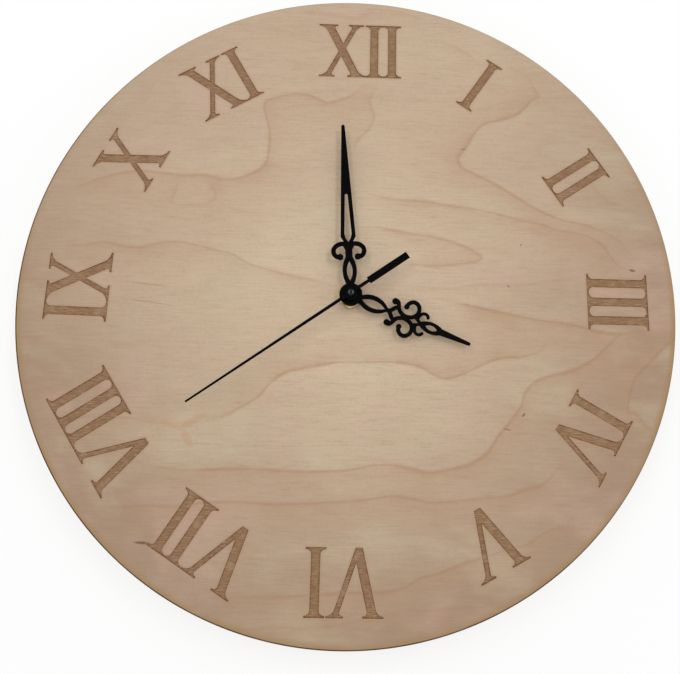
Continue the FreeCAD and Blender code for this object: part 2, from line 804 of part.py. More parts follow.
def make_train_plate():
    body = doc.addObject("PartDesign::Body", "train_plate")
    sides = ("-train_plate_left", "train_plate_right", "-train_plate_below", "train_plate_above")
    outline = (draw_rectangle, *sides)
    holes = [
        (draw_circle, "0", "0", "minute_pipe_radius + running_gap"),
        (draw_circle, "third_x", "third_y", "pinion_arbor_radius + running_gap"),
        (draw_circle, "intermediate_x", "intermediate_y", "arbor_radius + running_gap"),
        (draw_circle, "rotor_x", "rotor_y", "pinion_arbor_radius + running_gap"),
        (draw_circle, "setting_x", "setting_y", "setting_shaft_radius + running_gap"),
    ]
    pad(body, "plate", "train_plate_height", "train_plate_thickness", outline, *holes)
    left, right, low, high = sides
    pillars = [
        (draw_circle, x, y, "pillar_radius")
        for x in (f"{left} + pillar_inset", f"{right} - pillar_inset")
        for y in (f"{low} + pillar_inset", f"{high} - pillar_inset")
    ]
    pad(body, "pillars", "plate_top", "inner_front - plate_top", *pillars)
    post = (draw_circle, "motion_x", "motion_y", "motion_post_radius")
    pad(body, "motion_post", "plate_top", "inner_front - plate_top", post)
    finished(body, "train_plate")


def make_hanger_plate():
    body = doc.addObject("PartDesign::Body", "hanger_plate")
    half = "hanger_width / 2"
    strap = (draw_rectangle, f"-{half}", half, "-hanger_drop", "hanger_eye_height")
    pad(body, "strap", "case_depth", "hanger_thickness", strap)
    pad(body, "ear", "case_depth", "hanger_thickness", (draw_circle, "0", "hanger_eye_height", half))
    through = "hanger_thickness + 2 * overrun"
    eye = (draw_circle, "0", "hanger_eye_height", "hanger_eye_radius")
    stem = (draw_circle, "0", "0", "stem_radius + fit_gap")
    pocket(body, "eye_and_stem_hole", "case_depth - overrun", through, eye, stem)
    finished(body, "hanger_plate")


# Stem, washers and nut


def make_stem():
    """A flanged tube with ring grooves at the thread's pitch on the length that the nut can reach."""
    radius = size("stem_radius")
    flange = size("inner_front") - size("stem_flange_thickness")
    front = size("stem_front")
    start = size("case_depth")
    shape = joined([
        disc(0, 0, radius, flange, front - flange),
        disc(0, 0, size("stem_flange_radius"), flange, size("stem_flange_thickness")),
    ])
    pitch = size("thread_pitch")
    deep = size("thread_depth")
    grooves = []
    for turn in range(int((front - start) / pitch)):
        middle = front - (turn + 1) * pitch + pitch / 2
        profile = [(radius + deep, middle - pitch), (radius - deep, middle), (radius + deep, middle + pitch)]
        corners = [Vector(x, 0, z) for x, z in profile]
        face = Part.Face(Part.makePolygon(corners + corners[:1]))
        grooves.append(face.revolve(Vector(), Vector(0, 0, 1), FULL_TURN))
    bore = disc(0, 0, size("stem_bore"), flange - size("overrun"), front - flange + 2 * size("overrun"))
    shaped("stem_bush", shape.cut([*grooves, bore]))


def make_washers():
    bore = "stem_radius + fit_gap"
    washer("rubber_washer", "rubber_washer_radius", bore, "rubber_back", "rubber_washer_thickness")
    washer("brass_washer", "brass_washer_radius", bore, "dial_front", "brass_washer_thickness")


def make_nut():
    """A hexagonal bar whose front corners a flat cone takes off; one corner points almost straight down."""
    prism = doc.addObject("Part::Prism", "nut_bar")
    prism.Polygon = HEX_SIDES
    corner = f"nut_across_flats / 2 / cos({HALF_TURN / HEX_SIDES})"
    placed(prism, "0", "0", "nut_back", Rotation(), {"Circumradius": corner, "Height": "nut_thickness"})
    cone = doc.addObject("Part::Cone", "nut_cone")
    small = "nut_across_flats / 2 - nut_chamfer"
    lengths = {
        "Radius1": f"{small} + nut_thickness / tan(nut_chamfer_angle)",
        "Radius2": small,
        "Height": "nut_thickness",
    }
    placed(cone, "0", "0", "nut_back", Rotation(), lengths)
    blank = common("nut_blank", prism, cone)
    through = "nut_thickness + 2 * overrun"
    bore = cylinder("nut_bore", "stem_radius + running_gap", through, "nut_back - overrun")
    turn = Rotation(Vector(0, 0, 1), -QUARTER - size("nut_turn_angle"))
    finished(cut("hex_nut", blank, bore), "hex_nut", turn=turn)


# Gears


def polar(radius, angle):
    return (radius * math.cos(math.radians(angle)), radius * math.sin(math.radians(angle)))


def toothed(teeth, module, low, high, phase):
    """A prism with one tooth at the phase angle: radial flanks to the pitch circle, tapering tips above."""
    pitch = teeth * module / 2
    root = pitch - size("tooth_dedendum_share") * module
    tip = pitch + size("tooth_addendum_share") * module
    half = QUARTER / teeth * size("tooth_fullness_share")
    tip_half = half * size("tooth_tip_share")
    profile = ((root, -half), (pitch, -half), (tip, -tip_half), (tip, tip_half), (pitch, half), (root, half))
    points = []
    for tooth in range(int(teeth)):
        middle = phase + tooth * FULL_TURN / teeth
        points += [polar(radius, middle + offset) for radius, offset in profile]
    return polygon(points, low, high - low)


def meshed_phase(teeth, phase, direction, mate_teeth):
    """The phase of a gear's mate in a direction from it, so that a tooth faces a gap between them."""
    return direction + HALF_TURN - (HALF_TURN - teeth * (direction - phase)) / mate_teeth


def teeth_of(name):
    return size(f"{name}_teeth")


DIAL_AXIS = ("0", "0")


def axis_of(name):
    return (f"{name}_x", f"{name}_y")


def gear_piece(label, axis, bars, gears, bore=None):
    """A moulded gear: round bars (radius, low, high) and toothed rims on one axis, with or without a bore."""
    shapes = [disc(0, 0, radius, low, high - low) for radius, low, high in bars]
    shapes += [toothed(*gear) for gear in gears]
    shape = joined(shapes)
    if bore:
        low, high = shape.BoundBox.ZMin, shape.BoundBox.ZMax
        over = size("overrun")
        shape = shape.cut(disc(0, 0, bore, low - over, high - low + 2 * over))
    shaped(label, shape, *axis)


def make_going_train():
    """Rotor pinion to intermediate wheel to seconds wheel to third wheel to centre wheel."""
    thick = size("wheel_thickness")
    over = size("pinion_overrun")
    back = size("arbor_back")
    front = size("pivot_front")
    thin_arbor = size("pinion_arbor_radius")
    arbor = size("arbor_radius")

    seconds_low = size("seconds_wheel_height")
    third_low = size("third_wheel_height")
    centre_low = size("centre_wheel_height")
    between_low = size("intermediate_wheel_height")

    seconds_module = size("seconds_module")
    third_module = size("third_module")
    rims = [
        (teeth_of("seconds_wheel"), seconds_module, seconds_low, seconds_low + thick, 0.0),
        (teeth_of("seconds_pinion"), third_module, seconds_low + thick, third_low + thick + over, 0.0),
    ]
    gear_piece("seconds_wheel", DIAL_AXIS, [], rims, arbor)
    shaped("seconds_arbor", disc(0, 0, arbor, back, size("arbor_front") - back))

    third_way = size("third_angle")
    third_phase = meshed_phase(teeth_of("seconds_pinion"), 0.0, third_way, teeth_of("third_wheel"))
    centre_module = size("centre_module")
    third_pinion_high = centre_low + thick + over
    rims = [
        (teeth_of("third_wheel"), third_module, third_low, third_low + thick, third_phase),
        (teeth_of("third_pinion"), centre_module, third_low + thick, third_pinion_high, 0.0),
    ]
    gear_piece("third_wheel", axis_of("third"), [(thin_arbor, back, front)], rims)
    back_way = third_way + HALF_TURN
    centre_phase = meshed_phase(teeth_of("third_pinion"), 0.0, back_way, teeth_of("centre_wheel"))
    rims = [(teeth_of("centre_wheel"), centre_module, centre_low, centre_low + thick, centre_phase)]
    gear_piece("centre_wheel", DIAL_AXIS, [], rims, size("minute_pipe_radius"))

    between_way = size("intermediate_angle")
    between_phase = meshed_phase(teeth_of("seconds_wheel"), 0.0, between_way, teeth_of("intermediate_pinion"))
    between_module = size("intermediate_module")
    between_top = between_low + thick
    between_high = seconds_low + thick + over
    rims = [
        (teeth_of("intermediate_wheel"), between_module, between_low, between_top, 0.0),
        (teeth_of("intermediate_pinion"), seconds_module, between_top, between_high, between_phase),
    ]
    bars = [(arbor, back, front)]
    gear_piece("intermediate_wheel", axis_of("intermediate"), bars, rims)
    rotor_way = size("rotor_angle")
    rotor_phase = meshed_phase(teeth_of("intermediate_wheel"), 0.0, rotor_way, teeth_of("rotor_pinion"))
    rims = [(teeth_of("rotor_pinion"), between_module, between_low - over, between_top + over, rotor_phase)]
    gear_piece("rotor_pinion", axis_of("rotor"), [(thin_arbor, back, front)], rims)
    magnet_low = size("rotor_magnet_height")
    magnet = disc(0, 0, size("rotor_magnet_radius"), magnet_low, size("rotor_magnet_thickness"))
    hole = disc(0, 0, thin_arbor, back, front - back)
    shaped("rotor_magnet", magnet.cut(hole), *axis_of("rotor"))


def make_motion_work():
    """Cannon pinion to motion wheel, motion pinion to hour wheel, and the setting pinion."""
    thick = size("wheel_thickness")
    over = size("pinion_overrun")
    module = size("motion_module")
    running = size("running_gap")
    low = size("motion_wheel_height")
    top = low + thick
    hour_low = size("hour_wheel_height")
    pipe = size("minute_pipe_radius")
    tail = size("centre_wheel_height") - size("minute_pipe_tail")

    rims = [(teeth_of("cannon_pinion"), module, low - over, top + over, 0.0)]
    bars = [(pipe, tail, size("minute_pipe_front"))]
    gear_piece("cannon_pinion", DIAL_AXIS, bars, rims, size("arbor_radius") + running)

    way = size("motion_angle")
    wheel_phase = meshed_phase(teeth_of("cannon_pinion"), 0.0, way, teeth_of("motion_wheel"))
    small_module = size("motion_pinion_module")
    rims = [
        (teeth_of("motion_wheel"), module, low, top, wheel_phase),
        (teeth_of("motion_pinion"), small_module, top, hour_low + thick + over, 0.0),
    ]
    bore = size("motion_post_radius") + running
    gear_piece("motion_wheel", axis_of("motion"), [], rims, bore)

    back_way = way + HALF_TURN
    hour_phase = meshed_phase(teeth_of("motion_pinion"), 0.0, back_way, teeth_of("hour_wheel"))
    rims = [(teeth_of("hour_wheel"), small_module, hour_low, hour_low + thick, hour_phase)]
    bars = [(size("hour_pipe_radius"), hour_low, size("hour_pipe_front"))]
    gear_piece("hour_wheel", DIAL_AXIS, bars, rims, pipe + running)

    setting_way = size("setting_angle")
    phase = meshed_phase(teeth_of("motion_wheel"), wheel_phase, setting_way, teeth_of("setting_pinion"))
    rims = [(teeth_of("setting_pinion"), module, low - over, top + over, phase)]
    foot = size("setting_knob_inset") + size("setting_knob_floor")
    bars = [(size("setting_shaft_radius"), foot, top + over)]
    gear_piece("setting_shaft", axis_of("setting"), bars, rims)


def make_setting_knob():
    """A round knob with flutes round its edge and a blind hole for the shaft."""
    radius = size("setting_knob_radius")
    low = size("setting_knob_inset")
    thick = size("setting_knob_thickness")
    over = size("overrun")
    tools = [disc(0, 0, size("setting_shaft_radius"), low + size("setting_knob_floor"), thick)]
    for flute in range(int(size("knob_flutes"))):
        x, y = polar(radius, flute * FULL_TURN / size("knob_flutes"))
        tools.append(disc(x, y, size("knob_flute_radius"), low - over, thick + 2 * over))
    shaped("setting_knob", disc(0, 0, radius, low, thick).cut(tools), *axis_of("setting"))


# Step motor


def make_stator():
    centre = ("rotor_x", "rotor_y")
    ring = cylinder("stator_ring_disc", "stator_outer", "stator_thickness", "stator_height", *centre)
    left = "rotor_x - stator_bar / 2"
    low = "coil_low - core_overhang"
    long = "coil_length + 2 * core_overhang"
    bar = box("stator_bar_box", left, low, "stator_height", "stator_bar", long, "stator_thickness")
    arm = (f"coil_x + core_width / 2 - ({left})", "core_overhang - core_air", "stator_thickness")
    arms = [
        box("stator_low_arm", left, low, "stator_height", *arm),
        box("stator_high_arm", left, "coil_high + core_air", "stator_height", *arm),
    ]
    solid = fuse("stator_solid", ring, bar, *arms)
    through = "stator_thickness + 2 * overrun"
    hole = cylinder("stator_hole", "stator_inner", through, "stator_height - overrun", *centre)
    finished(cut("stator", solid, hole), "stator")


def make_coil():
    left = "coil_x - core_width / 2"
    long = "coil_length + 2 * core_overhang"
    core = box("coil_core", "0", "0", "0", "core_width", long, "core_thickness")
    finished(core, "coil_core", left, "coil_low - core_overhang", "core_back")

    def square(name, width, rise, low, length):
        sides = (f"coil_x - ({width}) / 2", low, f"coil_height - ({rise}) / 2")
        return box(name, *sides, width, length, rise)

    bore = ("core_width + 2 * fit_gap", "core_thickness + 2 * fit_gap")
    tube = tuple(f"{side} + 2 * bobbin_wall" for side in bore)
    flange = ("bobbin_flange", "bobbin_flange")
    thick = "bobbin_flange_thickness"
    solid = fuse(
        "bobbin_solid",
        square("bobbin_tube", *tube, "coil_low", "coil_length"),
        square("bobbin_low_flange", *flange, "coil_low", thick),
        square("bobbin_high_flange", *flange, f"coil_high - {thick}", thick),
    )
    hole = square("bobbin_bore", *bore, "coil_low - overrun", "coil_length + 2 * overrun")
    finished(cut("coil_bobbin", solid, hole), "coil_bobbin")

    low = "coil_low + bobbin_flange_thickness"
    length = "coil_length - 2 * bobbin_flange_thickness"
    wire = cylinder("winding_bar", "winding_radius", length, "coil_height", "coil_x", low, ALONG_Y)
    inside = square("winding_inside", *tube, "coil_low", "coil_length")
    finished(cut("coil_winding", wire, inside), "coil_winding")


# Circuit board, battery and contacts


def make_circuit():
    half = "inner_half - board_side_gap"
    board = box("circuit_board", "0", "0", "0", f"2 * ({half})", "board_width", "board_thickness")
    finished(board, "circuit_board", f"-({half})", "board_low", "board_height")
    dome = doc.addObject("Part::Sphere", "chip_ball")
    ball = "(chip_radius * chip_radius + chip_rise * chip_rise) / (2 * chip_rise)"
    placed(dome, "chip_x", "board_y", f"board_front + chip_rise - {ball}", Rotation(), {"Radius": ball})
    slice_ = cylinder("chip_slice", "chip_radius", "chip_rise", "board_front", "chip_x", "board_y")
    finished(common("clock_chip", dome, slice_), "clock_chip")
    can = cylinder("quartz_crystal", "crystal_radius", "crystal_length")
    finished(can, "quartz_crystal", "crystal_x", "board_y", "board_front + crystal_radius", ALONG_X)


def make_battery():
    can = cylinder("battery_can", "battery_radius", "battery_can_length")
    finished(can, "battery_can", "battery_left", "battery_y", "battery_height", ALONG_X)
    button = cylinder("battery_button", "battery_button_radius", "battery_button_height")
    at = "battery_left + battery_can_length"
    finished(button, "battery_button", at, "battery_y", "battery_height", ALONG_X)
    length = "battery_can_length - 2 * battery_sleeve_inset"
    middle = ("battery_height", "battery_left + battery_sleeve_inset", "battery_y", ALONG_X)
    outside = cylinder("sleeve_outside", "battery_outer", length, *middle)
    inside = cylinder("sleeve_inside", "battery_radius", length, *middle)
    finished(cut("battery_sleeve", outside, inside), "battery_sleeve")


def contact_strip(side):
    """Plate at the battery's end, tail up the wall and tab on the board, at the right (1) or left (-1)."""
    thick = size("contact_thickness")
    wall = size("inner_half")
    wide = size("contact_width")
    low = size("battery_y") - wide / 2
    tail_low = size("board_front")
    tab_y = size("board_y")
    tab = size("contact_tab")
    tail_wide = size("contact_tail_width")

    def slab(inner, outer, y, long, z, tall):
        left, right = sorted((side * inner, side * outer))
        return Part.makeBox(right - left, long, tall, Vector(left, y, z))

    return [
        slab(wall - thick, wall, low, wide, size("battery_height") - wide / 2, wide),
        slab(wall - thick, wall, low, tab_y + tab / 2 - low, tail_low, tail_wide),
        slab(wall - tab, wall, tab_y - tab / 2, tab, tail_low, thick),
    ]


def make_contacts():
    """The positive strip is flat; the negative one has a bowed leaf that meets the can."""
    shaped("positive_contact", joined(contact_strip(1)))
    thick = size("contact_thickness")
    back = thick - size("inner_half")
    crest = size("battery_left") - size("fit_gap")
    half = size("contact_width") / 2
    middle = size("battery_height")
    y = size("battery_y") - half / 2

    def bow(inset):
        ends = Vector(back, y, middle - half + inset), Vector(back, y, middle + half - inset)
        return Part.Arc(ends[0], Vector(crest - inset, y, middle), ends[1])

    outer, inner = bow(0.0), bow(thick)
    edges = [
        outer.toShape(),
        Part.LineSegment(outer.EndPoint, inner.EndPoint).toShape(),
        inner.toShape(),
        Part.LineSegment(inner.StartPoint, outer.StartPoint).toShape(),
    ]
    leaf = Part.Face(Part.Wire(edges)).extrude(Vector(0, half, 0))
    shaped("negative_contact", joined([*contact_strip(-1), leaf]))


# Hands


def collet(label, back, front, pipe, radius):
    """A tube that presses on a spindle, with a thin lip at its back for the hand to sit on."""
    tube = cylinder(f"{label}_tube", radius, f"{front} - {back}", back)
    lip = cylinder(f"{label}_lip", f"{radius} + collet_lip_width", "collet_lip", back)
    bore = cylinder(f"{label}_bore", pipe, f"{front} - {back} + 2 * overrun", f"{back} - overrun")
    finished(cut(label, fuse(f"{label}_solid", tube, lip), bore), label)


def make_hour_hand():
    """A slotted leaf, two large scrolls with hooked tails, two small curls, a small leaf and a point."""
    length = size("hour_hand_length")
    stroke = size("hour_hand_stroke")
    low = size("hour_collet_back") + size("collet_lip")
    thick = size("hour_hand_thickness")

    def flat(shares, width=stroke):
        return band(shares, length, width, low, thick)

    def ball(shares, share):
        along, side = shares
        return disc(side * length, along * length, share * length, low, thick)

    curl_stroke = HOUR_CURL_STROKE_SHARE * length
    leaves = lens(HOUR_LENS_SHARES, length, low, thick)
    slot = lens(HOUR_LENS_SLOT_SHARES, length, low, thick)
    small_leaf = lens(HOUR_SMALL_LENS_SHARES, length, low, thick)
    small_slot = lens(HOUR_SMALL_SLOT_SHARES, length, low, thick)
    start, half_width = (share * length for share in HOUR_POINT_SHARES)
    half_tip = size("hand_tip_width") / 2
    end = length - half_tip
    outline = [(-half_width, start), (half_width, start), (half_tip, end), (-half_tip, end)]
    point = polygon(outline, low, thick)
    side = [
        flat(HOUR_SCROLL_SHARES),
        ball(HOUR_SCROLL_SHARES[0], HOUR_SCROLL_BALL_SHARE),
        ball(HOUR_HOOK_SHARES, HOUR_HOOK_BALL_SHARE),
        flat(HOUR_TIE_SHARES),
        flat(HOUR_FRONT_TIE_SHARES, curl_stroke),
        flat(HOUR_CURL_SHARES, curl_stroke),
        ball(HOUR_CURL_SHARES[-1], HOUR_CURL_STROKE_SHARE / 2),
    ]
    solids = [joined(both_sides(side)), leaves.cut(slot), small_leaf.cut(small_slot), point]
    solids += [disc(0, end, half_tip, low, thick), disc(0, 0, size("hand_disc_radius"), low, thick)]
    hand = joined(solids).cut(disc(0, 0, size("hour_collet_radius"), low, thick))
    shaped("hour_hand", hand, turn=clockwise("hour_hand_angle"))
    collet("hour_collet", "hour_collet_back", "hour_pipe_front", "hour_pipe_radius", "hour_collet_radius")


def make_minute_hand():
    """A slotted leaf, a waist that widens into a pair of scrolls, and a long slotted blade."""
    length = size("minute_hand_length")
    stroke = size("minute_hand_stroke")
    low = size("minute_collet_back") + size("collet_lip")
    thick = size("minute_hand_thickness")
    leaf = lens(MINUTE_LENS_SHARES, length, low, thick)
    leaf_slot = lens(MINUTE_SLOT_LENS_SHARES, length, low, thick)
    along, side = (share * length for share in MINUTE_SCROLL_SHARES[-1])
    scrolls = [
        band(MINUTE_SCROLL_SHARES, length, stroke, low, thick),
        disc(side, along, MINUTE_SCROLL_BALL_SHARE * length, low, thick),
    ]
    half_tip = size("hand_tip_width") / 2
    end = length - half_tip

    def right_and_left(shares, last):
        right = [(out * length, up * length) for up, out in shares] + last
        return right + [(-x, y) for x, y in reversed(right)]

    waist = polygon(right_and_left(MINUTE_WAIST_SHARES, []), low, thick)
    blade = polygon(right_and_left(MINUTE_BLADE_SHARES, [(half_tip, end)]), low, thick)
    slot = polygon(right_and_left(MINUTE_SLOT_SHARES, []), low, thick)
    up, out = (share * length for share in MINUTE_SLOT_SHARES[-1])
    slot = slot.fuse(disc(0, up, out, low, thick))
    solids = [waist, disc(0, end, half_tip, low, thick), disc(0, 0, size("hand_disc_radius"), low, thick)]
    solids += both_sides(scrolls)
    solids += [leaf, blade]
    tools = [slot, leaf_slot, disc(0, 0, size("minute_collet_radius"), low, thick)]
    hand = joined(solids).cut(tools)
    shaped("minute_hand", hand, turn=clockwise("minute_hand_angle"))
    back, front = "minute_collet_back", "minute_pipe_front"
    collet("minute_collet", back, front, "minute_pipe_radius", "minute_collet_radius")


def make_second_hand():
    """A thin tapering bar with a rectangular counterweight, high on a tube with a rounded cap."""
    length = size("second_hand_length")
    tail = size("second_tail_length")
    low = size("second_lip_back") + size("collet_lip")
    thick = size("second_hand_thickness")
    half = size("second_hand_width") / 2
    half_tip = size("second_hand_tip_width") / 2
    half_weight = size("second_weight_width") / 2
    weight_start = size("second_weight_length") - tail
    right = [
        (half_weight, -tail),
        (half_weight, weight_start),
        (half, weight_start),
        (half, 0),
        (half_tip, length),
    ]
    bar = polygon(right + [(-x, y) for x, y in reversed(right)], low, thick)
    cap_radius = size("second_cap_radius")
    hub = disc(0, 0, size("second_disc_radius"), low, thick)
    hand = joined([bar, hub]).cut(disc(0, 0, cap_radius, low, thick))
    shaped("second_hand", hand, turn=clockwise("second_hand_angle"))

    back = size("second_collet_back")
    arbor_front = size("arbor_front")
    top = arbor_front + size("second_cap_top")
    cap = disc(0, 0, cap_radius, back, top - back)
    rim = [edge for edge in cap.Edges if edge.BoundBox.ZMin > arbor_front]
    cap = cap.makeFillet(size("second_cap_round"), rim)
    lip = disc(0, 0, cap_radius + size("collet_lip_width"), size("second_lip_back"), size("collet_lip"))
    bore = disc(0, 0, size("arbor_radius"), back, arbor_front - back)
    shaped("second_collet", joined([cap, lip]).cut(bore))


make_dial()
make_case_front()
make_rear_cover()
make_train_plate()
make_hanger_plate()
make_stem()
make_washers()
make_nut()
make_going_train()
make_motion_work()
make_setting_knob()
make_stator()
make_coil()
make_circuit()
make_battery()
make_contacts()
make_hour_hand()
make_minute_hand()
make_second_hand()
doc.recompute()

for obj in doc.Objects:
    if "Invalid" in obj.State or "Error" in obj.State:
        raise RuntimeError(f"{obj.Label} failed: {obj.State}")
for part in parts:
    if part.Shape.isNull() or not part.Shape.isValid() or not part.Shape.Solids:
        raise RuntimeError(f"{part.Label} has no valid solid")

os.makedirs("parts", exist_ok=True)
for part in parts:
    part.Shape.exportStep(f"parts/{part.Label}.step")
    print(f"{part.Label}: {len(part.Shape.Solids)} solid, {part.Shape.Volume:.1f} mm3")
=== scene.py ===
"""Wooden wall clock: an engraved birch ply disc with black hands, and the quartz movement behind it.

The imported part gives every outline. The dial's face is laid again as a fine net of points, so that
the veneer's figure and the scorched numerals can follow it, and the other pieces get rounded edges.
X runs to the right, Z up the dial and Y into the wall, in metres.
"""

import json
import math

import bmesh
import bpy
import numpy as np
from bpy.props import FloatProperty, FloatVectorProperty, IntProperty, PointerProperty
from mathutils import Euler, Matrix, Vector
from mathutils.geometry import delaunay_2d_cdt

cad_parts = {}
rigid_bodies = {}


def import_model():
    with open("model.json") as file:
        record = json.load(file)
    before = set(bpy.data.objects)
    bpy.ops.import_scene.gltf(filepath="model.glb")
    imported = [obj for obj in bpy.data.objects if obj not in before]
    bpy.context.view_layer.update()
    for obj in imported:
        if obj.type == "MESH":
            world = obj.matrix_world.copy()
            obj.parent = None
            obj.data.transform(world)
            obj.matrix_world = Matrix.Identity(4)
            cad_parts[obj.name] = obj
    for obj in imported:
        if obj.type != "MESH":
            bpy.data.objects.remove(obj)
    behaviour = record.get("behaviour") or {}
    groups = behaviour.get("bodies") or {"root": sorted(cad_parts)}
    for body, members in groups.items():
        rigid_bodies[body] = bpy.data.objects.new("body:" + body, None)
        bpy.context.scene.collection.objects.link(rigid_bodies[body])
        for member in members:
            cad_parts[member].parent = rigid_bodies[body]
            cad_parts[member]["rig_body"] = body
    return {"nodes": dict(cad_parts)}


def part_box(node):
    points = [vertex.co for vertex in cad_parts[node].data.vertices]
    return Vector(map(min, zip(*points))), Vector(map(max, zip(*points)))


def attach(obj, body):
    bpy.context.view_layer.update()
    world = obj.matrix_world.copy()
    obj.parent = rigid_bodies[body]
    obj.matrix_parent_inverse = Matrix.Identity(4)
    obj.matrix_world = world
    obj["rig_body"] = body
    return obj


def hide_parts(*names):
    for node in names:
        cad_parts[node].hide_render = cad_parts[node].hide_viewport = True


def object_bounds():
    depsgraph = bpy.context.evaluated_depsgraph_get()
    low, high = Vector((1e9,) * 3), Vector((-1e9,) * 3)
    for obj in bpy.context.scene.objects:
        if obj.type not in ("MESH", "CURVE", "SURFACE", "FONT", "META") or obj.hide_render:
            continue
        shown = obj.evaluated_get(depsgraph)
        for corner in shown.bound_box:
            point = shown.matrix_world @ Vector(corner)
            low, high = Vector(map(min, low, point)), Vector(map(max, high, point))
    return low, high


bl_info = {
    "name": "Engraved Wall Clock",
    "version": (1, 0, 0),
    "blender": (4, 5, 0),
    "location": "View3D > Sidebar > Wall Clock",
    "description": "Builds the looks of a round engraved wooden wall clock around its packed part",
    "category": "Add Mesh",
}

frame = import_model()
NODES = frame["nodes"]
CAD_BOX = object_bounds()
MM = 0.001
DIAL_RADIUS = 150 * MM
TOUCH = 0.001 * MM  # points nearer than this are in one place
FLAT_ANGLE = math.radians(0.4)  # faces that meet at less than this are one face
SHARP_ANGLE = math.radians(32)  # edges sharper than this are rounded
HOLE_STEPS = 96  # points round the dial's hole
BLOCK = 4000  # points measured at a time
MARK_REACH = 1.4  # where an oval mark ends, in its half lengths
STREAK_DEPTH = 0.64  # a streak's darkness beside a knot's
LAMP_AIM = Vector((0, -0.02, 0))


def paint(red, green, blue):
    """The linear colour of three screen values from 0 to 255."""
    parts = [value / 255 for value in (red, green, blue)]
    return tuple(p / 12.92 if p <= 0.04045 else ((p + 0.055) / 1.055) ** 2.4 for p in parts)


def number(name, words, value, **limits):
    return FloatProperty(name=name, description=words, default=value, **limits)


def length(name, words, millimetres):
    return number(name, words, millimetres * MM, min=0, unit="LENGTH")


def colour(name, words, red, green, blue):
    return FloatVectorProperty(
        name=name, description=words, default=paint(red, green, blue),
        min=0, max=1, size=3, subtype="COLOR",
    )


def share(name, words, value):
    return number(name, words, value, min=0, max=2, subtype="FACTOR")


